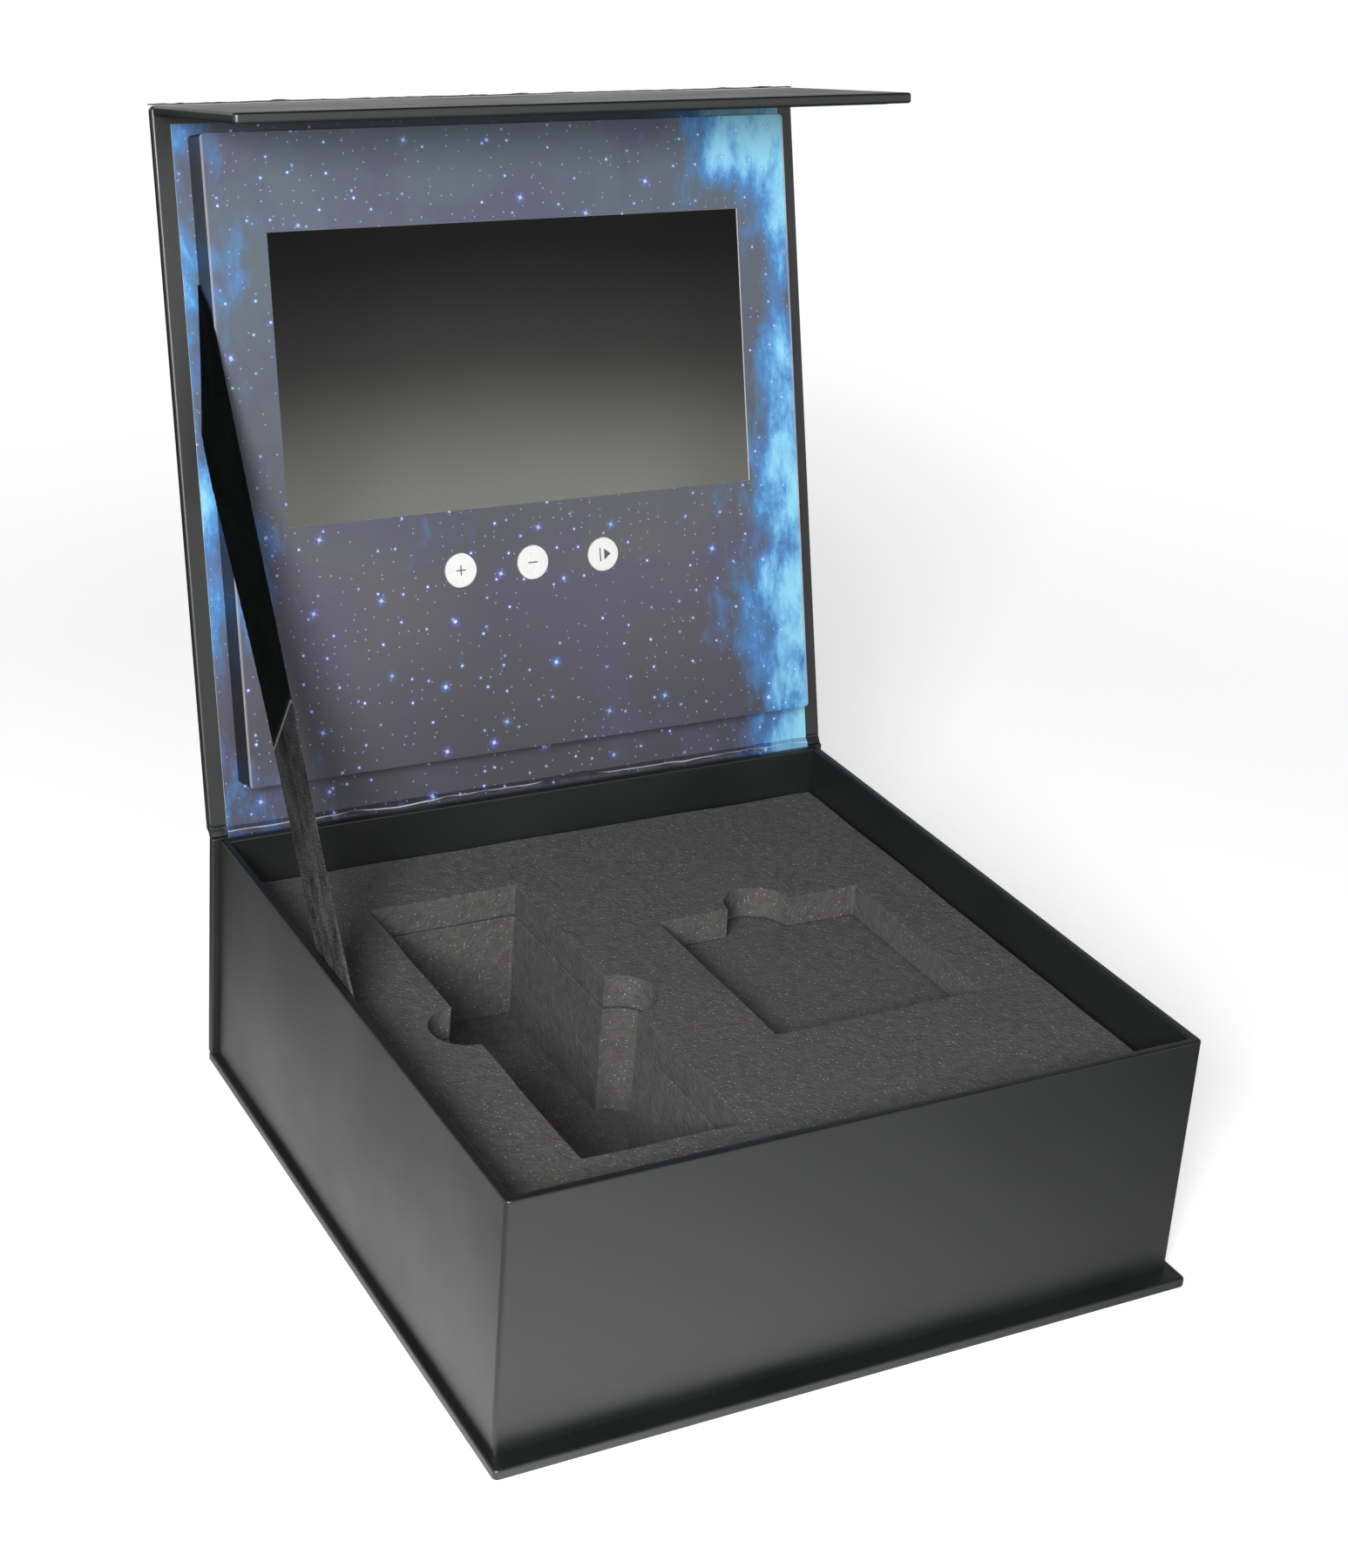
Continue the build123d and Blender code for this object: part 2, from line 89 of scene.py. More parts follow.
# Inputs of the Mix node when it mixes colours, shared settings, and where a noise's values mostly lie
mixShare, mixA, mixB = 0, 6, 7
inColour = {"data_type": "RGBA"}
smooth = {"interpolation_type": "SMOOTHSTEP"}
flatNoise = {"noise_dimensions": "2D"}
noiseLow, noiseHigh = 0.3, 0.7


def feed(node, inputs):
    # Gives each input its value or hex colour, or links it; a node passes on its first output in use
    for name, value in inputs.items():
        if isinstance(value, bpy.types.Node):
            value = next(output for output in value.outputs if output.enabled)
        if isinstance(value, bpy.types.NodeSocket):
            node.id_data.links.new(value, node.inputs[name])
        else:
            node.inputs[name].default_value = linearColour(value) if isinstance(value, str) else value


def addNode(tree, kind, inputs=None, **settings):
    # One node with its settings, its fixed inputs and what is linked into it
    node = tree.nodes.new("ShaderNode" + kind)
    for name, value in settings.items():
        setattr(node, name, value)
    feed(node, inputs or {})
    return node


def newMaterial(name, roughness, specular=0.5):
    # A Principled material, given as (material, what adds a node to it, shader, object coordinates)
    material = bpy.data.materials.new(name)
    material.use_nodes = True
    add = partial(addNode, material.node_tree)
    shader = material.node_tree.nodes["Principled BSDF"]
    feed(shader, {"Roughness": roughness, "Specular IOR Level": specular})
    return material, add, shader, add("TexCoord").outputs["Object"]


def perMetre(sizeMm):
    # The scale of a pattern whose parts are this many millimetres across
    return 1 / (sizeMm * mm)


# Laminated black paper with a satin film, rolled smooth and glued to board: nearly black itself, it goes
# grey where it mirrors the pale table, with faint handling marks
softTouch = {
    "colour": "#0f1212",
    "rubMarksAndPaintedHighlight": "#191c1b",
    "roughness": 0.42,
    "roughnessRange": 0.06,
    "specular": 1.0,
    "grainMm": 0.9,      # the real grain is 0.2 mm, drawn coarser so that it shows
    "grainHeightMm": 0.012,
    "markMm": 45.0,
    "waveMm": 30.0,
    "waveHeightMm": 0.05,
}


def makePaper(name, look):
    material, add, shader, place = newMaterial(name, look["roughness"], look["specular"])
    marks = add("TexNoise", {"Vector": place, "Scale": perMetre(look["markMm"]), "Detail": 4.0})
    colour = add("Mix", {mixShare: marks, mixA: look["colour"], mixB: look["rubMarksAndPaintedHighlight"]}, **inColour)
    gloss = add("MapRange", {"Value": marks, "From Min": noiseLow, "From Max": noiseHigh,
                             "To Min": look["roughness"] - look["roughnessRange"],
                             "To Max": look["roughness"] + look["roughnessRange"]})
    grain = add("TexNoise", {"Vector": place, "Scale": perMetre(look["grainMm"]), "Detail": 2.0})
    wave = add("TexNoise", {"Vector": place, "Scale": perMetre(look["waveMm"]), "Detail": 1.0})
    height = add("Math", {0: wave, 1: look["waveHeightMm"] / look["grainHeightMm"], 2: grain},
                 operation="MULTIPLY_ADD")
    bump = add("Bump", {"Height": height, "Distance": look["grainHeightMm"] * mm})
    feed(shader, {"Base Color": colour, "Roughness": gloss, "Normal": bump})
    return material


# Black lining paper inside the flap, and the same film where a fold has creased and polished it
liningLook = dict(softTouch, colour="#121414", rubMarksAndPaintedHighlight="#191b1b", roughness=0.5)
foldLook = dict(softTouch, colour="#141616", rubMarksAndPaintedHighlight="#2a2b2e", roughness=0.3, grainMm=2.5,
                grainHeightMm=0.12, waveMm=9.0, waveHeightMm=0.3)

# Printed and laminated art paper with a made-up field of stars: grey-blue ground, violet haze, bright
# blue cloud and small stars. Its plane is laid on the lid, x across and y up, in millimetres
starPrint = {
    "ground": "#676669",
    "deep": "#504f56",
    # upper and upperFrom paint light on the lid's top, where its gloss mirrors more; lower and lowerFrom
    # paint shade at the lid's foot
    "upper": "#606c79",
    "upperFrom": (150.0, 290.0),
    "lower": "#46464e",
    "lowerFrom": (175.0, 100.0),
    "violet": "#5a566e",
    # colour of a painted highlight along the panel's rounded side edges
    "rubMarksAndPaintedHighlight": "#b3a9ae",
    "cloud": "#4a9ce8",
    "cloudBright": "#9ae0fb",
    "hazeMm": 70.0,
    "violetMm": 38.0,
    "cloudMm": 48.0,
    "cloudShift": (11.0, 64.0, 0.0),
    "fibreMm": 16.0,
    "roughness": 0.4,
    "specular": 0.4,
    "grainMm": 0.8,
    "grainHeightMm": 0.008,
    "cloudEdgeX": (32.0, 92.0),     # the cloud comes in towards the sides, less so at the left
    "leftLess": 21.0,
    "cloudFrom": (0.44, 0.66),      # where in the cloud's noise its blue and its bright knots come in
    "knotsFrom": (0.56, 0.71),
    "violetFrom": (0.45, 0.72),
    "hues": ("#4a9df5", "#6a68ea"),
    "coreSoft": 0.35,               # how far in a star is full, then how strong halos and faint ones are
    "haloLevel": 0.55,
    "leastLevel": 0.35,
    "rayColour": "#9fc4ff",
    "rayMm": (0.17, 1.9),
    "rayTurn": 0.35,
    "raysKept": 0.6,
}
starLayers = [
    {"cellMm": 3.3, "radiusMm": 0.27, "glow": 1.8, "kept": 0.4, "level": 0.75, "tint": "#c2dcf0"},
    {"cellMm": 8.2, "radiusMm": 0.5, "glow": 2.4, "kept": 0.6, "level": 1.0, "tint": "#e6f2ff"},
    {"cellMm": 19.0, "radiusMm": 0.78, "glow": 3.2, "kept": 0.55, "level": 1.0, "tint": "#ffffff"},
]
# A pale line along the hinge's fold: painted highlight, partly cracked print
foldHighlight = {"colour": "#d2d2d6", "halfMm": 0.24, "wanderMm": 2.1, "waveMm": 32.0, "showsFrom": (0.42, 0.58)}


def lidPlane(add, place, shift=(0.0, 0.0, 0.0)):
    # Object coordinates laid flat on the open lid, in millimetres
    flat = add("Mapping", {"Vector": place, "Rotation": (lidLean - math.pi / 2, 0, 0)})
    return add("Mapping", {"Vector": flat, "Location": shift, "Scale": (1 / mm,) * 3})


def addStars(add, plane, ground, layer):
    # Draws one size of star over the ground colour
    cells = add("TexVoronoi", {"Vector": plane, "Scale": 1 / layer["cellMm"]}, voronoi_dimensions="2D")
    parts = add("SeparateColor", {"Color": cells.outputs["Color"]})
    radius = layer["radiusMm"] / layer["cellMm"]
    core = add("MapRange", {"Value": cells, "From Min": radius, "From Max": radius * starPrint["coreSoft"]},
               **smooth)
    halo = add("MapRange", {"Value": cells, "From Min": radius * layer["glow"], "From Max": 0.0,
                            "To Max": starPrint["haloLevel"]}, **smooth)
    kept = add("Math", {0: parts.outputs["Red"], 1: layer["kept"]}, operation="LESS_THAN")
    level = add("MapRange", {"Value": parts.outputs["Green"], "To Min": starPrint["leastLevel"],
                             "To Max": layer["level"]})
    share = add("Math", {0: kept, 1: level}, operation="MULTIPLY")
    haloShare = add("Math", {0: halo, 1: share}, operation="MULTIPLY")
    coreShare = add("Math", {0: core, 1: share}, operation="MULTIPLY")
    first, second = starPrint["hues"]
    hue = add("Mix", {mixShare: parts.outputs["Blue"], mixA: first, mixB: second}, **inColour)
    glowing = add("Mix", {mixShare: haloShare, mixA: ground, mixB: hue}, **inColour)
    return add("Mix", {mixShare: coreShare, mixA: glowing, mixB: layer["tint"]}, **inColour)


def addRays(add, plane, ground, layer):
    # Fine crossed rays through some of the layer's stars
    cells = add("TexVoronoi", {"Vector": plane, "Scale": 1 / layer["cellMm"]}, voronoi_dimensions="2D")
    parts = add("SeparateColor", {"Color": cells.outputs["Color"]})
    offset = add("VectorMath", {0: plane, 1: cells.outputs["Position"]}, operation="SUBTRACT")
    turned = add("Mapping", {"Vector": offset, "Rotation": (0, 0, starPrint["rayTurn"])})
    axes = add("SeparateXYZ", {"Vector": turned})
    width, length = starPrint["rayMm"]
    rays = []
    for along, across in (("X", "Y"), ("Y", "X")):
        spread = add("Math", {0: axes.outputs[along]}, operation="ABSOLUTE")
        offLine = add("Math", {0: axes.outputs[across]}, operation="ABSOLUTE")
        reach = add("MapRange", {"Value": spread, "From Min": length, "From Max": 0.0})
        thin = add("MapRange", {"Value": offLine, "From Min": width, "From Max": 0.0})
        rays.append(add("Math", {0: reach, 1: thin}, operation="MULTIPLY"))
    both = add("Math", {0: rays[0], 1: rays[1]}, operation="MAXIMUM")
    kept = add("Math", {0: parts.outputs["Red"], 1: layer["kept"] * starPrint["raysKept"]},
               operation="LESS_THAN")
    share = add("Math", {0: both, 1: kept}, operation="MULTIPLY")
    return add("Mix", {mixShare: share, mixA: ground, mixB: starPrint["rayColour"]}, **inColour)


def addFoldHighlight(add, plane, height, ground, heightAt):
    # A fine silvery line that wanders along a fold: painted highlight of the crease, partly where it has
    # cracked the print
    along = add("Mapping", {"Vector": plane, "Scale": (1.0, 0.0, 1.0)})
    wander = add("TexNoise", {"Vector": along, "Scale": 1 / foldHighlight["waveMm"], "Detail": 2.0}, **flatNoise)
    moved = add("Math", {0: wander, 1: 2 * foldHighlight["wanderMm"], 2: height}, operation="MULTIPLY_ADD")
    past = add("Math", {0: moved, 1: heightAt + foldHighlight["wanderMm"]}, operation="SUBTRACT")
    distance = add("Math", {0: past}, operation="ABSOLUTE")
    half = foldHighlight["halfMm"]
    line = add("MapRange", {"Value": distance, "From Min": half, "From Max": half / 3})
    low, high = foldHighlight["showsFrom"]
    showing = add("MapRange", {"Value": wander, "From Min": low, "From Max": high})
    share = add("Math", {0: line, 1: showing}, operation="MULTIPLY")
    return add("Mix", {mixShare: share, mixA: ground, mixB: foldHighlight["colour"]}, **inColour)


def makeStarPrint(name, level=1.0, roughness=starPrint["roughness"], paintedHighlightFrom=None, foldHighlightAt=None):
    # level darkens the whole print, and at 0.08 paints the shade of the panel's sides; paintedHighlightFrom
    # is how far out, in mm, a painted highlight along its side edges starts; foldHighlightAt is the height,
    # in mm, of a fold that gets a painted highlight line, partly cracked print
    material, add, shader, place = newMaterial(name, roughness, starPrint["specular"])
    plane = lidPlane(add, place)
    haze = add("TexNoise", {"Vector": plane, "Scale": 1 / starPrint["hazeMm"], "Detail": 2.0}, **flatNoise)
    ground = add("Mix", {mixShare: haze, mixA: starPrint["ground"], mixB: starPrint["deep"]}, **inColour)
    axes = add("SeparateXYZ", {"Vector": plane})
    # Painted light towards the top of the lid and painted shade towards its foot
    for part in ("upper", "lower"):
        start, end = starPrint[part + "From"]
        height = add("MapRange", {"Value": axes.outputs["Y"], "From Min": start, "From Max": end,
                                  "To Max": 0.8}, **smooth)
        ground = add("Mix", {mixShare: height, mixA: ground, mixB: starPrint[part]}, **inColour)
    veil = add("TexNoise", {"Vector": lidPlane(add, place, (71.0, 13.0, 0.0)),
                            "Scale": 1 / starPrint["violetMm"], "Detail": 5.0, "Distortion": 0.6},
               **flatNoise)
    low, high = starPrint["violetFrom"]
    veilShare = add("MapRange", {"Value": veil, "From Min": low, "From Max": high, "To Max": 0.75})
    violet = add("Mix", {mixShare: veilShare, mixA: ground, mixB: starPrint["violet"]}, **inColour)

    # The cloud: fibrous noise drawn out upwards, strongest along the right side, with bright knots
    stretched = add("Mapping", {"Vector": plane, "Location": (0, 19.0, 0), "Rotation": (0, 0, 0.12),
                                "Scale": (1.5, 0.6, 1.0)})
    fibres = add("TexNoise", {"Vector": stretched, "Scale": 1 / starPrint["fibreMm"], "Detail": 9.0,
                              "Roughness": 0.72, "Distortion": 0.15}, **flatNoise)
    banks = add("TexNoise", {"Vector": lidPlane(add, place, starPrint["cloudShift"]),
                             "Scale": 1 / starPrint["cloudMm"], "Detail": 3.0, "Roughness": 0.5},
                **flatNoise)
    outwards = add("Math", {0: axes.outputs["X"]}, operation="ABSOLUTE")
    leftShare = add("Math", {0: axes.outputs["X"], 1: 0.0}, operation="LESS_THAN")
    reach = add("Math", {0: leftShare, 1: -starPrint["leftLess"], 2: outwards}, operation="MULTIPLY_ADD")
    start, end = starPrint["cloudEdgeX"]
    side = add("MapRange", {"Value": reach, "From Min": start, "From Max": end, "To Min": -0.2,
                            "To Max": 0.1}, **smooth)
    mixed = add("Mix", {0: 0.42, 2: banks, 3: fibres})
    body = add("Math", {0: mixed, 1: side}, operation="ADD")
    low, high = starPrint["cloudFrom"]
    blueShare = add("MapRange", {"Value": body, "From Min": low, "From Max": high, "To Max": 0.9}, **smooth)
    blue = add("Mix", {mixShare: blueShare, mixA: violet, mixB: starPrint["cloud"]}, **inColour)
    low, high = starPrint["knotsFrom"]
    brightShare = add("MapRange", {"Value": body, "From Min": low, "From Max": high}, **smooth)
    ground = add("Mix", {mixShare: brightShare, mixA: blue, mixB: starPrint["cloudBright"]}, **inColour)
    for i, layer in enumerate(starLayers):
        shifted = lidPlane(add, place, (37.0 * i, 53.0 * i, 0.0))
        ground = addStars(add, shifted, ground, layer)
    ground = addRays(add, shifted, ground, starLayers[-1])
    # Painted highlight along the panel's side edges, where their rounding catches light
    if paintedHighlightFrom:
        rubMarksAndPaintedHighlight = add("MapRange", {"Value": outwards, "From Min": paintedHighlightFrom, "From Max": paintedHighlightFrom + 0.3,
                                  "To Max": 0.6})
        ground = add("Mix", {mixShare: rubMarksAndPaintedHighlight, mixA: ground, mixB: starPrint["rubMarksAndPaintedHighlight"]}, **inColour)
    dimming = (level, level, level * (1.2 - 0.2 * level), 1.0)     # a dimmed print keeps a little more blue
    printed = add("Mix", {mixShare: 1.0, mixA: ground, mixB: dimming}, **inColour, blend_type="MULTIPLY")
    if foldHighlightAt:
        printed = addFoldHighlight(add, plane, axes.outputs["Y"], printed, foldHighlightAt)
    grain = add("TexNoise", {"Vector": place, "Scale": perMetre(starPrint["grainMm"]), "Detail": 2.0})
    bump = add("Bump", {"Height": grain, "Distance": starPrint["grainHeightMm"] * mm})
    feed(shader, {"Base Color": printed, "Normal": bump})
    return material


# Expanded polyethylene foam, knife cut: matt charcoal with open cells that sparkle here and there, their
# glints painted as pale specks
foamLook = {
    "colour": "#575656",
    "pale": "#696867",
    "glint": "#ddd4c6",
    "cellMm": 1.1,
    "glintCellMm": 1.1,
    "glintMm": 0.25,
    "glintsKept": 0.4,
    "mottleMm": 3.0,
    "pitShare": 0.28,
    "roughness": 0.95,
    "specular": 0.2,
    "cellHeightMm": 0.2,
}


def makeFoamMaterial(name):
    material, add, shader, place = newMaterial(name, foamLook["roughness"], foamLook["specular"])
    mottle = add("TexNoise", {"Vector": place, "Scale": perMetre(foamLook["mottleMm"]), "Detail": 5.0,
                              "Roughness": 0.65})
    spread = add("MapRange", {"Value": mottle, "From Min": noiseLow, "From Max": noiseHigh})
    colour = add("Mix", {mixShare: spread, mixA: foamLook["colour"], mixB: foamLook["pale"]}, **inColour)
    cells = add("TexVoronoi", {"Vector": place, "Scale": perMetre(foamLook["cellMm"])})
    pits = add("Mix", {mixShare: 0.5, mixA: colour, mixB: cells.outputs["Color"]}, **inColour,
               blend_type="MULTIPLY")
    toned = add("Mix", {mixShare: foamLook["pitShare"], mixA: colour, mixB: pits}, **inColour)
    # Painted glints: pale specks where open cells catch the light
    glints = add("TexVoronoi", {"Vector": place, "Scale": perMetre(foamLook["glintCellMm"])})
    parts = add("SeparateColor", {"Color": glints.outputs["Color"]})
    radius = foamLook["glintMm"] / foamLook["glintCellMm"]
    dot = add("MapRange", {"Value": glints, "From Min": radius, "From Max": 0.0})
    kept = add("Math", {0: parts.outputs["Red"], 1: foamLook["glintsKept"]}, operation="LESS_THAN")
    share = add("Math", {0: dot, 1: kept}, operation="MULTIPLY")
    glinting = add("Mix", {mixShare: share, mixA: toned, mixB: foamLook["glint"]}, **inColour)
    bump = add("Bump", {"Height": cells, "Distance": foamLook["cellHeightMm"] * mm})
    feed(shader, {"Base Color": glinting, "Normal": bump})
    return material


# Polyester velvet ribbon: deep black pile above a crease, and below it, where the pile was brushed the
# other way, grey and fuzzy, a grey that is painted sheen of that pile, lightest at the foot. The crease is
# a pale line of painted highlight
velvetLook = {
    "black": "#050606",
    "blackRaised": "#0e1110",
    "sheenGrey": "#1b1b1b",
    "sheenGreyRaised": "#444546",
    "footSheen": "#727374",
    "footSheenTop": 0.085,         # painted sheen is lightest at the foot, up to this far along it, in metres
    "roughness": 0.95,
    "specular": 0.03,
    "pileMm": 0.5,
    "pileFrom": (0.14, 0.4),
    "brushMm": 5.0,
    "pileHeightMm": 0.25,
    "creaseHighlightColour": "#77787a",
    "creaseAlong": 0.097,     # metres along the ribbon at its left edge, and how much it leans
    "creaseLean": 0.26,
    "creaseHighlightMm": 0.8,
    "turnMm": 3.0,
}


def makeVelvet(name):
    material, add, shader, _ = newMaterial(name, velvetLook["roughness"], velvetLook["specular"])
    flat = add("UVMap")
    pile = add("TexNoise", {"Vector": flat, "Scale": perMetre(velvetLook["pileMm"]), "Detail": 2.0},
               **flatNoise)
    combed = add("Mapping", {"Vector": flat, "Scale": (1.0, 0.35, 1.0)})
    brush = add("TexNoise", {"Vector": combed, "Scale": perMetre(velvetLook["brushMm"]), "Detail": 5.0,
                             "Roughness": 0.7}, **flatNoise)
    share = add("Math", {0: pile, 1: brush}, operation="MULTIPLY")
    low, high = velvetLook["pileFrom"]
    spread = add("MapRange", {"Value": share, "From Min": low, "From Max": high})
    upper = add("Mix", {mixShare: spread, mixA: velvetLook["black"], mixB: velvetLook["blackRaised"]},
                **inColour)
    axes = add("SeparateXYZ", {"Vector": flat})
    # Painted sheen: the brushed pile below the crease is grey, lighter towards the foot
    footSheenShare = add("MapRange", {"Value": axes.outputs["Y"], "From Min": velvetLook["footSheenTop"], "From Max": 0.0})
    raisedSheen = add("Mix", {mixShare: footSheenShare, mixA: velvetLook["sheenGreyRaised"], mixB: velvetLook["footSheen"]},
                 **inColour)
    lower = add("Mix", {mixShare: spread, mixA: velvetLook["sheenGrey"], mixB: raisedSheen}, **inColour)
    line = add("Math", {0: axes.outputs["X"], 1: -velvetLook["creaseLean"], 2: axes.outputs["Y"]},
               operation="MULTIPLY_ADD")
    past = add("Math", {0: line, 1: velvetLook["creaseAlong"]}, operation="SUBTRACT")
    half = velvetLook["turnMm"] * mm
    turned = add("MapRange", {"Value": past, "From Min": -half, "From Max": half}, **smooth)
    colour = add("Mix", {mixShare: turned, mixA: lower, mixB: upper}, **inColour)
    # Painted highlight: a pale line along the crease, where its fold would catch light
    distance = add("Math", {0: past}, operation="ABSOLUTE")
    creaseHighlightShare = add("MapRange", {"Value": distance, "From Min": velvetLook["creaseHighlightMm"] * mm, "From Max": 0.0,
                               "To Max": 0.85})
    withCreaseHighlight = add("Mix", {mixShare: creaseHighlightShare, mixA: colour, mixB: velvetLook["creaseHighlightColour"]}, **inColour)
    bump = add("Bump", {"Height": share, "Distance": velvetLook["pileHeightMm"] * mm})
    feed(shader, {"Base Color": withCreaseHighlight, "Normal": bump})
    return material


# The display's picture behind glass: a plain backdrop that brightens downwards, under a clear gloss
screenLook = {
    "top": "#131414",
    "middle": "#3c3c3b",
    "bottom": "#7c7c78",
    "driftMm": 56.0,         # slow drifts of tone, and how much of the screen's height they move it
    "driftShare": 0.12,
    "lowerFrom": (0.04, 0.62),
    "upperFrom": (0.45, 1.02),
    "edgeShade": 0.28,       # the picture dims towards its left and right edges
    "edgeFrom": 0.4,
    "glass": "#050505",
    "roughness": 0.16,
    "specular": 0.1,
}


def makeScreen(name, low, high):
    material, add, shader, place = newMaterial(name, screenLook["roughness"], screenLook["specular"])
    axes = add("SeparateXYZ", {"Vector": place})
    up = add("MapRange", {"Value": axes.outputs["Z"], "From Min": low.z, "From Max": high.z})
    cloud = add("TexNoise", {"Vector": place, "Scale": perMetre(screenLook["driftMm"]), "Detail": 1.0})
    drift = add("Math", {0: cloud, 1: screenLook["driftShare"], 2: up}, operation="MULTIPLY_ADD")
    picture = screenLook["bottom"]
    for band, colour in (("lowerFrom", screenLook["middle"]), ("upperFrom", screenLook["top"])):
        start, end = screenLook[band]
        share = add("MapRange", {"Value": drift, "From Min": start, "From Max": end}, **smooth)
        picture = add("Mix", {mixShare: share, mixA: picture, mixB: colour}, **inColour)
    aside = add("Math", {0: axes.outputs["X"]}, operation="ABSOLUTE")
    edge = add("MapRange", {"Value": aside, "From Min": high.x * screenLook["edgeFrom"], "From Max": high.x,
                            "To Max": screenLook["edgeShade"]}, **smooth)
    shaded = add("Mix", {mixShare: edge, mixA: picture, mixB: "#000000"}, **inColour)
    feed(shader, {"Base Color": screenLook["glass"], "Emission Color": shaded, "Emission Strength": 1.0})
    return material


# Plain finishes, broken up by a fine noise: two colours, the noise's size in mm, the roughness, the height
# of the bumps in mm, and further inputs of the shader
plainLooks = {
    # Uncoated greyboard: recycled fibre, soft and speckled
    "greyboard": ("#8d857a", "#776f64", 1.2, 0.85, 0.05, {}),
    # Bleached folding card, cut edge: white and matt
    "white card": ("#efeeea", "#e2e1dc", 0.8, 0.7, 0.02, {}),
    # Gloss ABS button caps, moulded white
    "white ABS": ("#f4f4f2", "#ececea", 3.0, 0.28, 0.004, {}),
    # Grey ink of the button symbols
    "grey ink": ("#55565a", "#62636a", 0.6, 0.6, 0.0, {}),
    # Zinc-plated steel: bright grey with a faint spangle
    "zinc plated steel": ("#b9bcc0", "#a2a6ab", 5.0, 0.35, 0.0, {"Metallic": 1.0}),
    # Nickel-plated magnets
    "nickel plate": ("#c9c6be", "#bdb9af", 4.0, 0.22, 0.0, {"Metallic": 1.0}),
    # Pressed steel back frame of the display
    "pressed steel": ("#9fa3a6", "#8b8f93", 6.0, 0.4, 0.01, {"Metallic": 1.0}),
    # Black moulded ABS of the switches, the speaker and the lid sensor
    "black ABS": ("#1b1b1c", "#232324", 1.0, 0.5, 0.01, {}),
    # Green solder mask over copper
    "solder mask": ("#1d5a35", "#164828", 2.5, 0.35, 0.01, {"Coat Weight": 0.3}),
    # Epoxy chip packages
    "epoxy": ("#202123", "#2a2b2e", 0.6, 0.6, 0.01, {}),
    # Polyimide flex cable: amber film over copper
    "polyimide film": ("#a8641c", "#8c4f14", 3.0, 0.3, 0.01, {"Coat Weight": 0.4}),
    # Aluminium laminate of the pouch cell
    "aluminium laminate": ("#b4b6b8", "#9da0a3", 4.0, 0.35, 0.08, {"Metallic": 1.0}),
    # PVC lead insulation
    "PVC": ("#a02420", "#8c1f1c", 2.0, 0.4, 0.0, {}),
    # Diffuser sheet at the back of the display
    "acrylic diffuser": ("#e6e8e8", "#d9dcdc", 6.0, 0.3, 0.0, {}),
    # Closed-cell mounting pads
    "foam tape": ("#2b2b2b", "#353535", 0.9, 0.9, 0.08, {}),
}
glossSpread = 0.15


def makePlain(name):
    base, other, sizeMm, roughness, heightMm, extra = plainLooks[name]
    material, add, shader, place = newMaterial(name, roughness)
    grain = add("TexNoise", {"Vector": place, "Scale": perMetre(sizeMm), "Detail": 4.0})
    colour = add("Mix", {mixShare: grain, mixA: base, mixB: other}, **inColour)
    gloss = add("MapRange", {"Value": grain, "To Min": roughness * (1 - glossSpread),
                             "To Max": min(1.0, roughness * (1 + glossSpread))})
    feed(shader, {"Base Color": colour, "Roughness": gloss, **extra})
    if heightMm:
        feed(shader, {"Normal": add("Bump", {"Height": grain, "Distance": heightMm * mm})})
    return material


# Shapes: small tools that build, round and finish a piece. The noise's seed makes every run come out alike
noise.seed_set(5)
sharpDegrees = 50
foldDegrees = 70
near = 0.01 * mm


def addBox(shape, low, high):
    middle, size = Matrix.Translation((low + high) / 2), Matrix.Diagonal((*(high - low), 1))
    bmesh.ops.create_cube(shape, size=1, matrix=middle @ size)


def boxShape(low, high):
    shape = bmesh.new()
    addBox(shape, low, high)
    return shape


def copyOf(nodeName, place=atBase, mergeFlats=True):
    # The CAD node's own form, its doubled points merged, back where it lies with the lid closed
    shape = bmesh.new()
    shape.from_mesh(frame["nodes"][nodeName].data)
    bmesh.ops.remove_doubles(shape, verts=shape.verts, dist=0.002 * mm)
    if mergeFlats:
        bmesh.ops.dissolve_limit(shape, angle_limit=math.radians(1), verts=shape.verts, edges=shape.edges)
    shape.transform(place.inverted())
    return shape


def isSharp(edge):
    return edge.calc_face_angle(0.0) > math.radians(sharpDegrees)


def runsAlong(edge, axis):
    way = (edge.verts[0].co - edge.verts[1].co).normalized()
    return abs(way[axis]) > 0.99


def roundEdges(shape, radiusMm, segments, wanted, clamped=True):
    edges = [edge for edge in shape.edges if wanted(edge)]
    bmesh.ops.bevel(shape, geom=edges, offset=radiusMm * mm, segments=segments, profile=0.5,
                    affect="EDGES", material=-1, clamp_overlap=clamped)


def sliceUp(shape, axis, stepMm):
    # Cuts a shape into even bands across one axis, so that it has points to settle
    places = [vertex.co[axis] for vertex in shape.verts]
    low, high = min(places), max(places)
    bands = max(1, round((high - low) / (stepMm * mm)))
    normal = [float(i == axis) for i in range(3)]
    for band in range(1, bands):
        point = Vector([low + (high - low) * band / bands if i == axis else 0.0 for i in range(3)])
        bmesh.ops.bisect_plane(shape, geom=shape.verts[:] + shape.edges[:] + shape.faces[:],
                               plane_co=point, plane_no=normal, dist=0.001 * mm)


def settle(shape, amountMm, waveMm, seed):
    # Moves each point a little, so that no face or edge is perfectly straight
    for vertex in shape.verts:
        shift = noise.noise_vector(vertex.co / (waveMm * mm) + Vector((seed, 2.0 * seed, 0.0)))
        vertex.co += shift * amountMm * mm


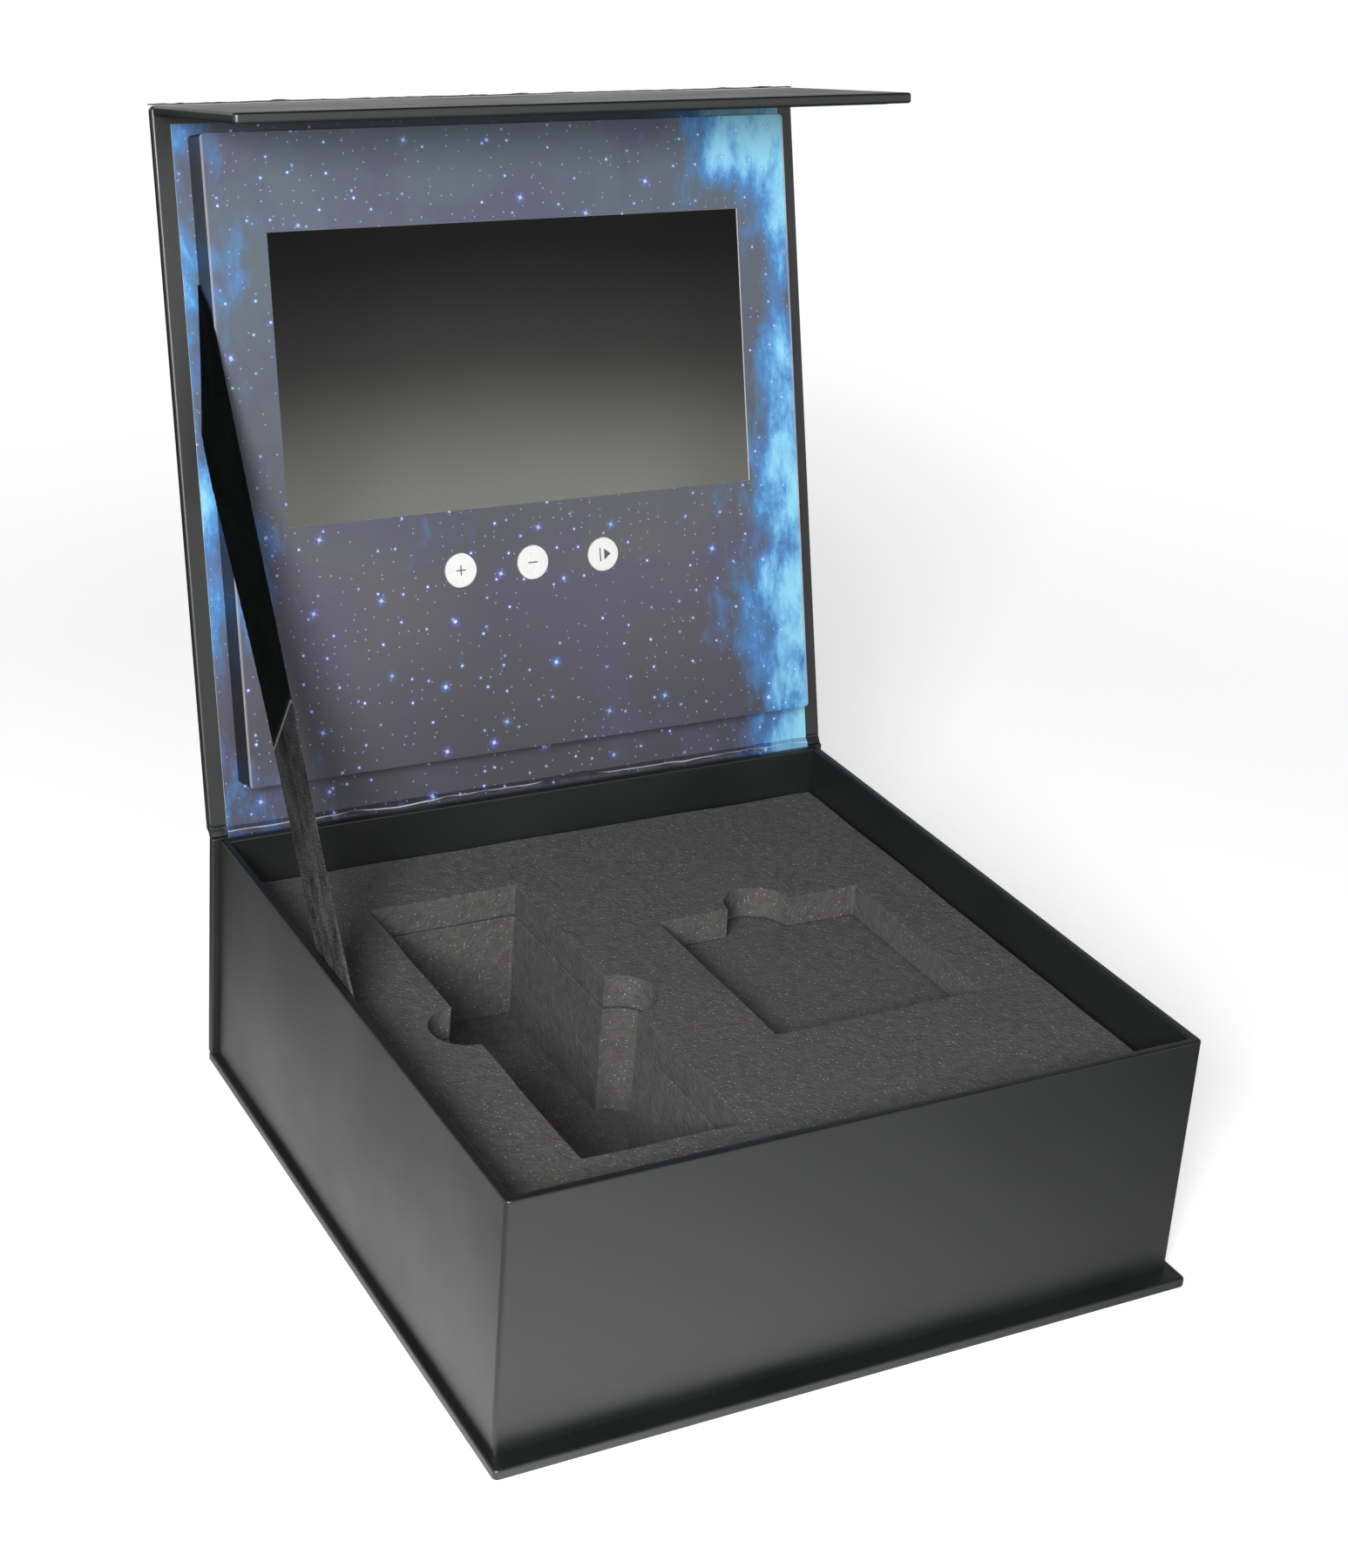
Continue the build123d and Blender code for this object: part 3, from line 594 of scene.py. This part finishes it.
def finishPiece(shape, name, place, materials, replaced=(), body=None, sharpFrom=sharpDegrees):
    bmesh.ops.recalc_face_normals(shape, faces=shape.faces)
    for face in shape.faces:
        face.smooth = True
    for edge in shape.edges:
        edge.smooth = edge.calc_face_angle(0.0) < math.radians(sharpFrom)
    mesh = bpy.data.meshes.new(name)
    shape.to_mesh(mesh)
    shape.free()
    mesh.transform(place)
    for material in materials:
        mesh.materials.append(material)
    piece = bpy.data.objects.new(name, mesh)
    bpy.context.scene.collection.objects.link(piece)
    weighted = piece.modifiers.new("even shading", "WEIGHTED_NORMAL")
    weighted.keep_sharp = True
    if body:
        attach(piece, body)
    if replaced:
        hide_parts(*replaced)
    return piece


def dress(nodeName, material):
    # Gives a CAD node a material without touching its mesh
    piece = frame["nodes"][nodeName]
    piece.data.materials.clear()
    piece.data.materials.append(material)


# Covers: the paper-wrapped boards of the case, edges rolled soft over the greyboard
paper = makePaper("soft touch laminated paper", softTouch)
lining = makePaper("soft touch lining paper", liningLook)
boardRounding = {"cornerMm": 1.5, "edgeMm": 0.8}
spineRounding = {"cornerMm": 0.8, "edgeMm": 0.5}
liningEdgeMm = 0.12


def makeCover(part, place, body, across, rounding=boardRounding):
    # across is the axis through the board
    nodeName = part + "_wrap"
    shape = boxShape(*nodeBox(nodeName, place))
    roundEdges(shape, rounding["cornerMm"], 5, lambda edge: runsAlong(edge, across))
    roundEdges(shape, rounding["edgeMm"], 4, isSharp)
    finishPiece(shape, part + "_cover", place, [paper], [nodeName], body)


makeCover("base", atBase, "base", 2)
makeCover("spine", atBase, "base", 2, spineRounding)
makeCover("lid", onLid, "lid", 2)
makeCover("flap", onFlap, "flap", 1)
shape = boxShape(*nodeBox("flap_liner", onFlap))
roundEdges(shape, liningEdgeMm, 2, isSharp)
finishPiece(shape, "flap_lining", onFlap, [lining], ["flap_liner"], "flap")
print("covers made")

# Tray: one paper-wrapped shell, its outside corners and rim rolled, its walls a little uneven
trayShape = {"wallMm": 2.6, "cornerMm": 1.5, "rimMm": 0.55, "bandMm": 18.0, "unevenMm": 0.12,
             "unevenWaveMm": 70.0}


def makeTray():
    low, high = nodeBox("tray_wrap")
    floorTop = nodeBox("foam_base")[0].z
    shape = boxShape(low, high)
    top = max(shape.faces, key=lambda face: face.calc_center_median().z)
    bmesh.ops.inset_region(shape, faces=[top], thickness=trayShape["wallMm"] * mm, use_even_offset=True)
    cavity = bmesh.ops.extrude_discrete_faces(shape, faces=[top])["faces"][0]
    bmesh.ops.translate(shape, verts=cavity.verts, vec=(0, 0, floorTop - high.z))
    outer = high.x - 0.5 * mm
    roundEdges(shape, trayShape["cornerMm"], 5,
               lambda edge: runsAlong(edge, 2) and abs(edge.verts[0].co.x) > outer)
    roundEdges(shape, trayShape["rimMm"], 3,
               lambda edge: isSharp(edge) and min(v.co.z for v in edge.verts) > high.z - near)
    for axis in range(3):
        sliceUp(shape, axis, trayShape["bandMm"])
    settle(shape, trayShape["unevenMm"], trayShape["unevenWaveMm"], 1.0)
    finishPiece(shape, "tray_shell", atBase, [paper], ["tray_wrap"], "base")


makeTray()
print("tray made")

# Foam: three glued sheets, knife cut, so their edges are soft and the joint under the top one shows
foam = makeFoamMaterial("expanded polyethylene foam")
foamShape = {"edgeMm": 0.5, "seamMm": 1.0, "lipMm": 0.25, "bandMm": 7.0, "unevenMm": 0.35,
             "unevenWaveMm": 16.0}
seamHeight = nodeBox("foam_top")[0].z


def atSeam(edge):
    return isSharp(edge) and all(abs(v.co.z - seamHeight) < 0.05 * mm for v in edge.verts)


for seed, nodeName in enumerate(("foam_base", "foam_middle", "foam_top")):
    shape = copyOf(nodeName)
    seamMm = foamShape["seamMm"] if nodeName == "foam_top" else foamShape["lipMm"]
    roundEdges(shape, seamMm, 3, atSeam, False)
    roundEdges(shape, foamShape["edgeMm"], 3,
               lambda edge: isSharp(edge) and all(abs(v.co.z - seamHeight) > 2 * mm for v in edge.verts))
    for axis in range(3):
        sliceUp(shape, axis, foamShape["bandMm"])
    settle(shape, foamShape["unevenMm"], foamShape["unevenWaveMm"], seed)
    piece = finishPiece(shape, nodeName + "_cut", atBase, [foam], [nodeName], "base")
print("foam made")

# Printed liner of the lid: its cut edge shows white all round
starPaper = makeStarPrint("laminated star print")
# The panel's sides: the same print darkened to 8 %, as painted shade
starShadedSides = makeStarPrint("laminated star print, panel sides in painted shade", 0.08)
# The panel's front, with a painted highlight along its rounded side edges
starPanel = makeStarPrint("laminated star print, painted highlight at its side edges", paintedHighlightFrom=94.0)
whiteCard = makePlain("white card")
shape = copyOf("lid_liner", onLid)
for face in shape.faces:
    face.normal_update()
    face.material_index = int(abs(face.normal.z) < 0.5)
finishPiece(shape, "lid_print", onLid, [starPaper, whiteCard], ["lid_liner"], "lid")


# Video panel: print over the card frame, sides darkened as painted shade, white cut edges at the window and
# button holes
panelShape = {"rimMm": 0.4, "rimWithinMm": 2.0, "sidesWithinMm": 4.0, "pastDisplayMm": 6.0,
              "glassEdgeMm": 0.15}


def makePanelPrint():
    low, high = nodeBox("panel_print_wrap", onLid)
    shape = copyOf("panel_print_wrap", onLid, False)
    innerX = nodeBox("display_frame", onLid)[1].x + panelShape["pastDisplayMm"] * mm

    def isInside(point, withinMm):
        # Away from the panel's outer edges
        return abs(point.x) <= innerX and low.y + withinMm * mm <= point.y <= high.y - withinMm * mm

    def onFrontRim(edge):
        level = max(v.co.z for v in edge.verts) < low.z + near
        return level and isSharp(edge) and not any(isInside(v.co, panelShape["rimWithinMm"])
                                                   for v in edge.verts)

    roundEdges(shape, panelShape["rimMm"], 3, onFrontRim)
    for face in shape.faces:
        face.normal_update()
        if abs(face.normal.z) <= 0.75:
            cutEdge = isInside(face.calc_center_median(), panelShape["sidesWithinMm"])
            face.material_index = 2 if cutEdge else 1
    finishPiece(shape, "panel_print", onLid, [starPanel, starShadedSides, whiteCard],
                ["panel_print_wrap"], "lid")


makePanelPrint()

# Screen: the display's glass with its picture
shape = copyOf("display_glass", onLid)
roundEdges(shape, panelShape["glassEdgeMm"], 2, isSharp)
finishPiece(shape, "screen", onLid, [makeScreen("display glass and picture", *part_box("display_glass"))],
            ["display_glass"], "lid")
print("panel made")

# Buttons: glossy white caps with grey printed symbols 3 mm wide
buttonCap = makePlain("white ABS")
symbolInk = makePlain("grey ink")
symbol = {"halfMm": 1.55, "strokeMm": 0.38, "inkMm": 0.12, "barHalfMm": 2.1, "barLeftMm": 1.0,
          "triangleMm": 1.45, "triangleTall": 1.4, "triangleRightMm": 1.05}
capEdgeMm = 0.3


def addPlate(shape, x0, x1, y0, y1, top):
    # A flat plate of ink on a cap that faces down the closed lid; sizes from the cap's middle, in mm
    half = symbol["inkMm"] / 2
    addBox(shape, top + Vector((x0, y0, -half)) * mm, top + Vector((x1, y1, half)) * mm)


def makeButton(nodeName):
    low, high = nodeBox(nodeName, onLid)
    shape = copyOf(nodeName, onLid, False)
    roundEdges(shape, capEdgeMm, 3,
               lambda edge: isSharp(edge) and max(v.co.z for v in edge.verts) < low.z + near)
    finishPiece(shape, nodeName + "_cap", onLid, [buttonCap], [nodeName], nodeName)
    top = Vector(((low.x + high.x) / 2, (low.y + high.y) / 2, low.z))
    half, thin, tall = symbol["halfMm"], symbol["strokeMm"] / 2, symbol["barHalfMm"]
    left = -symbol["barLeftMm"]
    ink = bmesh.new()
    if nodeName == "button_play":
        corner = symbol["triangleMm"] * mm
        place = Matrix.Translation(top + Vector((symbol["triangleRightMm"] * mm, 0, 0)))
        turned = Matrix.Diagonal((1, symbol["triangleTall"], 1, 1)) @ Matrix.Rotation(-math.pi / 2, 4, "Z")
        bmesh.ops.create_cone(ink, cap_ends=True, segments=3, radius1=corner, radius2=corner,
                              depth=symbol["inkMm"] * mm, matrix=place @ turned)
        addPlate(ink, left - thin, left + thin, -tall, tall, top)
    else:
        addPlate(ink, -half, half, -thin, thin, top)
    if nodeName == "button_plus":
        addPlate(ink, -thin, thin, thin, half, top)
        addPlate(ink, -thin, thin, -half, -thin, top)
    finishPiece(ink, nodeName + "_symbol", onLid, [symbolInk], (), nodeName)


for nodeName in ("button_plus", "button_minus", "button_play"):
    makeButton(nodeName)
print("buttons made")


# Sheets: flat strips with their own map, then formed by a rule and given their thickness
def stripShape(width, length, form, sheet):
    # form takes (share across, share along) and gives the place of the sheet's middle; sheet says how
    # finely it is divided and how thick it is
    shape = bmesh.new()
    bmesh.ops.create_grid(shape, x_segments=sheet["across"], y_segments=sheet["along"], size=0.5,
                          calc_uvs=True)
    flat = shape.loops.layers.uv.verify()
    for face in shape.faces:
        for loop in face.loops:
            loop[flat].uv = ((loop.vert.co.x + 0.5) * width, (loop.vert.co.y + 0.5) * length)
    for vertex in shape.verts:
        vertex.co = form(vertex.co.x + 0.5, vertex.co.y + 0.5)
    bmesh.ops.recalc_face_normals(shape, faces=shape.faces)
    bmesh.ops.solidify(shape, geom=shape.faces[:], thickness=sheet["thicknessMm"] * mm)
    return shape


# Ribbon stay: velvet ribbon from the slot beside the foam to the lid, where it lies against the panel's
# side and its end runs under it. Its back and front edges pass through these pairs of points (mm)
ribbonLook = {
    "widthMm": 19.0,
    "thicknessMm": 0.5,
    "across": 14,
    "along": 150,
    "run": (
        ((-99.65, 5.3, 46.5), (-99.65, -8.8, 59.2)),
        ((-99.65, 31.4, 75.5), (-99.3, 17.3, 88.2)),
        ((-98.6, 60.3, 107.5), (-97.9, 47.4, 121.6)),
        ((-98.0, 83.6, 133.6), (-96.6, 72.1, 149.1)),
        ((-98.0, 107.2, 159.2), (-95.5, 98.6, 178.9)),
        ((-98.0, 122.6, 175.6), (-95.1, 117.6, 202.3)),
        ((-98.0, 129.8, 184.6), (-95.1, 127.0, 214.6)),
    ),
    # On the lid the places are (x, up the lid, in from its board)
    "onLid": (
        ((-97.8, 113.4, 1.6), (-95.4, 149.0, 9.8)),
        ((-97.5, 117.0, 0.65), (-95.3, 158.0, 0.65)),
        ((-94.9, 118.0, 0.6), (-94.9, 158.5, 0.6)),
    ),
    "fuzzMm": 0.12,           # how far its two edges fray, and in what waves
    "fuzzWaveMm": 1.1,
    "fuzzFrom": 0.46,
    "bend": ((0.0, 21.5, 37.2), (0.0, 113.5, 196.6)),   # two points given for a fold inside the closed box, in mm
}


def alongPoints(points, spot):
    # A smooth line through a few points; spot counts them
    last = len(points) - 1
    i = min(int(spot), last - 1)
    local = spot - i
    p0, p1, p2, p3 = (points[min(max(i + k, 0), last)] for k in (-1, 0, 1, 2))
    return 0.5 * (2 * p1 + (p2 - p0) * local + (2 * p0 - 5 * p1 + 4 * p2 - p3) * local ** 2
                  + (3 * p1 - p0 - 3 * p2 + p3) * local ** 3)


def upTheLid(x, up, inward):
    # A place on the open lid: x, up from its hinge edge and in from the inside of its board, in mm
    low, high = nodeBox("lid_wrap", onLid)
    return onLid @ Vector((x * mm, high.y - up * mm, low.z - inward * mm))


def makeRibbon():
    rows = [[Vector(point) * mm for point in pair] for pair in ribbonLook["run"]]
    rows += [[upTheLid(*point) for point in pair] for pair in ribbonLook["onLid"]]
    back, front = zip(*rows)
    middles = [(start + end) / 2 for start, end in rows]
    steps = [(end - start).length for start, end in zip(middles, middles[1:])]
    length = sum(steps)

    def spotAt(share):
        left = share * length
        for i, step in enumerate(steps):
            if left <= step:
                return i + left / step
            left -= step
        return len(steps)

    def form(across, along):
        spot = spotAt(along)
        place = alongPoints(back, spot).lerp(alongPoints(front, spot), across)
        fuzz = noise.noise_vector(place / (ribbonLook["fuzzWaveMm"] * mm)) * ribbonLook["fuzzMm"] * mm
        return place + fuzz * (abs(across - 0.5) > ribbonLook["fuzzFrom"])

    velvet = makeVelvet("polyester velvet ribbon")
    shape = stripShape(ribbonLook["widthMm"] * mm, length, form, ribbonLook)
    piece = finishPiece(shape, "ribbon", atBase, [velvet], ["ribbon_stay"])
    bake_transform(piece)


# Hinge papers: thin strips laid from the case to the open lid, creased along the hinge
creasedPaper = makePaper("creased soft touch paper", foldLook)
creasedPrint = makeStarPrint("creased star print", 0.6, 0.2, foldHighlightAt=100.9)
# Seen from the side, in mm: three places on the case from the spine's top edge, then two on the closed lid
# from the edge of its board or liner, each as (out to the back, up)
hingeLines = {
    "outside": (((-0.3, -1.4), (-0.25, -0.3), (0.9, 1.0)), ((0.1, -0.35), (-1.4, -0.3))),
    "inside": (((0.6, -0.5), (1.4, -0.35), (2.1, 0.8)), ((0.1, 0.75), (-1.2, 0.7))),
    "printed": (((-0.2, -0.05), (0.5, 0.15), (1.0, 1.3)), ((0.0, 0.15), (-0.5, 0.15))),
}
hingeShort = 0.15 * mm     # how far they end inside the cover's sides
hingePaper = {"thicknessMm": 0.3, "across": 280, "along": 16, "foldMm": 5.0}
flapPaper = {"thicknessMm": 0.28, "across": 240, "along": 10, "foldMm": 7.0, "swellMm": 0.4, "seed": 5.0}
folds = {"along": 2.2, "finer": 2.3, "finerShare": 0.6}


def crumple(across, along, widthMm, sizeMm, amountMm, seed):
    # Fine folds that die out towards the glued edges
    spot = Vector((across * widthMm / sizeMm, along * folds["along"], seed))
    fade = math.sin(math.pi * min(max(along, 0.0), 1.0))
    fine = abs(noise.noise(spot * folds["finer"])) * folds["finerShare"]
    return (noise.noise(spot) + fine) * amountMm * fade


def makeHingeStrip(name, halfWidth, line, amountMm, materials, replaced, seed):
    # line holds the strip's places from the case to the lid, seen from the side; the lid's edge is the
    # last but one, the case's edge the second
    length = sum((end - start).length for start, end in zip(line, line[1:]))
    facing = (line[-1] - line[0]).normalized().cross(Vector((1, 0, 0)))

    def form(across, along):
        place = alongPoints(line, along * (len(line) - 1))
        foldMm = hingePaper["foldMm"]
        place = place + facing * crumple(across, along, 2 * halfWidth / mm, foldMm, amountMm, seed) * mm
        place.x = halfWidth * (2 * across - 1)
        return place

    shape = stripShape(2 * halfWidth, length, form, hingePaper)
    if len(materials) > 1:
        for face in shape.faces:
            face.normal_update()
            face.material_index = int(abs(face.normal.x) > 0.7)
    piece = finishPiece(shape, name, atBase, materials, replaced, None, foldDegrees)
    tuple(line[1])
    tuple(line[-2])
    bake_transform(piece)


def sideLine(name, caseY, caseZ, lidY, lidZ):
    # One of the hinge lines, laid from these edges of the case and the closed lid
    onCase, onClosedLid = hingeLines[name]
    return ([Vector((0, caseY + y * mm, caseZ + z * mm)) for y, z in onCase]
            + [onLid @ Vector((0, lidY + y * mm, lidZ + z * mm)) for y, z in onClosedLid])


def makeHinges():
    linerLow, linerHigh = nodeBox("lid_liner", onLid)
    wrapLow, wrapHigh = nodeBox("lid_wrap", onLid)
    spineLow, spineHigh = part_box("spine_wrap")
    outside = sideLine("outside", spineHigh.y, spineHigh.z, wrapHigh.y, wrapHigh.z)
    inside = sideLine("inside", spineLow.y, spineHigh.z, wrapHigh.y, wrapLow.z)
    printed = sideLine("printed", spineLow.y, spineHigh.z, linerHigh.y, linerLow.z)
    makeHingeStrip("cover_hinge", wrapHigh.x - hingeShort, outside, 0.2, [creasedPaper],
                   ["lid_fold_paper"], 8.0)
    makeHingeStrip("cover_hinge_inside", wrapHigh.x - hingeShort, inside, 0.1, [creasedPaper],
                   [], 12.0)
    makeHingeStrip("liner_hinge", linerHigh.x, printed, -0.45, [creasedPrint, whiteCard],
                   ["liner_hinge_strip"], 3.0)


def makeFlapFold():
    low, high = nodeBox("flap_fold_paper", onFlap)
    widthMm = (high.x - low.x) / mm

    def form(across, along):
        swell = max(0.0, crumple(across, along, widthMm, flapPaper["foldMm"], flapPaper["swellMm"],
                                 flapPaper["seed"]))
        return Vector((low.x + (high.x - low.x) * across, low.y - swell * mm,
                       low.z + (high.z - low.z) * along))

    shape = stripShape(widthMm * mm, high.z - low.z, form, flapPaper)
    finishPiece(shape, "flap_fold", onFlap, [creasedPaper], ["flap_fold_paper"],
                "flap_fold", foldDegrees)


makeRibbon()
makeHinges()
makeFlapFold()
print("ribbon and hinges made")

# Inside pieces keep the CAD form and get their own finish
insideFinish = {
    "greyboard": ("base_board", "spine_board", "lid_board", "flap_board", "tray_front_wall",
                  "tray_back_wall", "tray_left_wall", "tray_right_wall", "tray_floor"),
    "zinc plated steel": ("strike_plates", "charging_socket"),
    "nickel plate": ("sensor_magnet", "flap_magnets"),
    "pressed steel": ("display_frame",),
    "black ABS": ("button_switches", "speaker", "key_board_spacers"),
    "solder mask": ("main_board", "key_board", "lid_sensor_board"),
    "epoxy": ("main_board_chips", "lid_sensor"),
    "polyimide film": ("display_flex_cable", "key_flex_cable"),
    "aluminium laminate": ("battery",),
    "PVC": ("battery_leads", "speaker_leads"),
    "acrylic diffuser": ("display_backlight",),
    "foam tape": ("display_pads",),
}
for finish, nodeNames in insideFinish.items():
    material = makePlain(finish)
    for nodeName in nodeNames:
        dress(nodeName, material)
for nodeName in ("panel_back_card", "panel_frame", "panel_face_card"):
    dress(nodeName, whiteCard)

# Studio: a white sweep, a small key lamp left of the camera and a large, weaker one high up behind it
studio = {
    "floorSize": 8.0,
    "floorColour": "#f4f4f2",
    "roughness": 0.9,
    "specular": 0.1,
    "glowLevels": (0.62, 0.95),  # added for what the camera sees, so that the sweep reads as white
    "glowReach": (0.35, 1.1),
    "poolPlace": (-0.2, -0.06, 0.0),     # the bright part of the sweep that the box's gloss sees
    "poolReach": (0.07, 0.45),
    "poolShare": (1.0, 0.2),     # the share of the sweep's light that a gloss sees, in and off the pool
    "poolGlow": (0.55, 0.0),     # and what is added to it
    "poolEdgeX": (-0.175, -0.105),       # towards the left, away from the box, it fades
    "poolEdgeShare": (0.3, 1.05),
    "mottleMm": 400.0,
    "lamps": {"key lamp": ((-0.6, -0.7, 0.55), 0.3, 11.5), "fill lamp": ((-0.1, -1.5, 1.2), 1.0, 4.5)},
    "lampAim": (0.0, 0.0, 0.1),
    "worldLevel": 0.075,
    "sweepGloss": 1.0,       # what a gloss sees of the sweep behind, low down
    "roomGloss": 0.05,       # and of the dark room above it
    "sweepTop": (0.16, 0.45),
}


def seenByCamera(add, path):
    # 1 for what the camera sees, directly or through the glass
    return add("Math", {0: path.outputs["Is Camera Ray"], 1: path.outputs["Is Transmission Ray"]},
               operation="MAXIMUM")


def makeFloor():
    mesh = bpy.data.meshes.new("floor")
    sheet = bmesh.new()
    bmesh.ops.create_grid(sheet, x_segments=1, y_segments=1, size=studio["floorSize"] / 2)
    sheet.to_mesh(mesh)
    sheet.free()
    floor = bpy.data.objects.new("floor", mesh)
    bpy.context.scene.collection.objects.link(floor)
    material, add, shader, place = newMaterial("white sweep", studio["roughness"], studio["specular"])
    tone = add("TexNoise", {"Vector": place, "Scale": perMetre(studio["mottleMm"])})
    colour = add("Mix", {mixShare: tone, mixA: studio["floorColour"], mixB: "#ffffff"}, **inColour)
    path = add("LightPath")
    glossy = path.outputs["Is Glossy Ray"]
    axes = add("SeparateXYZ", {"Vector": place})
    (outside, beside), (least, most) = studio["poolEdgeX"], studio["poolEdgeShare"]
    fade = add("MapRange", {"Value": axes.outputs["X"], "From Min": outside, "From Max": beside,
                            "To Min": least, "To Max": most})

    def levelAround(centre, reach, levels):
        away = add("VectorMath", {0: place, 1: centre}, operation="DISTANCE")
        return add("MapRange", {"Value": away, "From Min": reach[0], "From Max": reach[1],
                                "To Min": levels[0], "To Max": levels[1]}, **smooth)

    def poolLevel(levels):
        level = levelAround(studio["poolPlace"], studio["poolReach"], levels)
        return add("Math", {0: level, 1: fade}, operation="MULTIPLY")

    mirrored = add("Mix", {mixShare: 1.0, mixA: colour, mixB: poolLevel(studio["poolShare"])},
                   **inColour, blend_type="MULTIPLY")
    lit = add("Mix", {mixShare: glossy, mixA: colour, mixB: mirrored}, **inColour)
    around = levelAround((0, 0, 0), studio["glowReach"], studio["glowLevels"])
    direct = add("Math", {0: around, 1: seenByCamera(add, path)}, operation="MULTIPLY")
    glow = add("Math", {0: poolLevel(studio["poolGlow"]), 1: glossy, 2: direct}, operation="MULTIPLY_ADD")
    feed(shader, {"Base Color": lit, "Emission Color": "#ffffff", "Emission Strength": glow})
    floor.data.materials.append(material)


def makeLamp(name, place, size, power):
    light = bpy.data.lights.new(name, "AREA")
    light.size = size
    light.energy = power
    lamp = bpy.data.objects.new(name, light)
    lamp.location = place
    aim = Vector(studio["lampAim"]) - Vector(place)
    lamp.rotation_euler = aim.to_track_quat("-Z", "Y").to_euler()
    bpy.context.scene.collection.objects.link(lamp)


def makeWorld():
    # A white sweep low down and a dark room above it for reflections; the camera sees white
    world = bpy.data.worlds.new("studio")
    bpy.context.scene.world = world
    world.use_nodes = True
    add = partial(addNode, world.node_tree)
    path = add("LightPath")
    axes = add("SeparateXYZ", {"Vector": add("TexCoord").outputs["Generated"]})
    low, high = studio["sweepTop"]
    sweep = add("MapRange", {"Value": axes.outputs["Z"], "From Min": low, "From Max": high,
                             "To Min": studio["sweepGloss"], "To Max": studio["roomGloss"]}, **smooth)
    gloss = add("Mix", {0: path.outputs["Is Glossy Ray"], 2: studio["worldLevel"], 3: sweep})
    level = add("Mix", {0: seenByCamera(add, path), 2: gloss, 3: 1.0})
    feed(world.node_tree.nodes["Background"], {"Color": "#ffffff", "Strength": level})


makeFloor()
for name, lamp in studio["lamps"].items():
    makeLamp(name, *lamp)
makeWorld()

# Camera: the photograph's own view, found from the box's straight edges
photo = {
    "width": 1547,
    "height": 1800,
    "focalPixels": 3070.6017,
    "centreX": 745.8479,
    "centreY": 748.1727,
    "place": (-0.337352, -0.574343, 0.430309),
    "turn": (1.9280437, -0.4255436, 0.3783910),
}


def makeCamera():
    data = bpy.data.cameras.new("camera")
    data.sensor_fit = "VERTICAL"
    data.sensor_height = 36
    data.lens = photo["focalPixels"] * data.sensor_height / photo["height"]
    data.shift_x = (photo["width"] / 2 - photo["centreX"]) / photo["height"]
    data.shift_y = (photo["centreY"] - photo["height"] / 2) / photo["height"]
    data.dof.use_dof = False
    turn = Vector(photo["turn"])
    toCamera = Matrix.Rotation(turn.length, 3, turn)
    flip = Matrix(((1, 0, 0), (0, -1, 0), (0, 0, -1)))
    camera = bpy.data.objects.new("camera", data)
    camera.matrix_world = Matrix.Translation(photo["place"]) @ (flip @ toCamera).transposed().to_4x4()
    bpy.context.scene.collection.objects.link(camera)
    bpy.context.scene.camera = camera


makeCamera()
bpy.context.scene.view_settings.view_transform = "Standard"
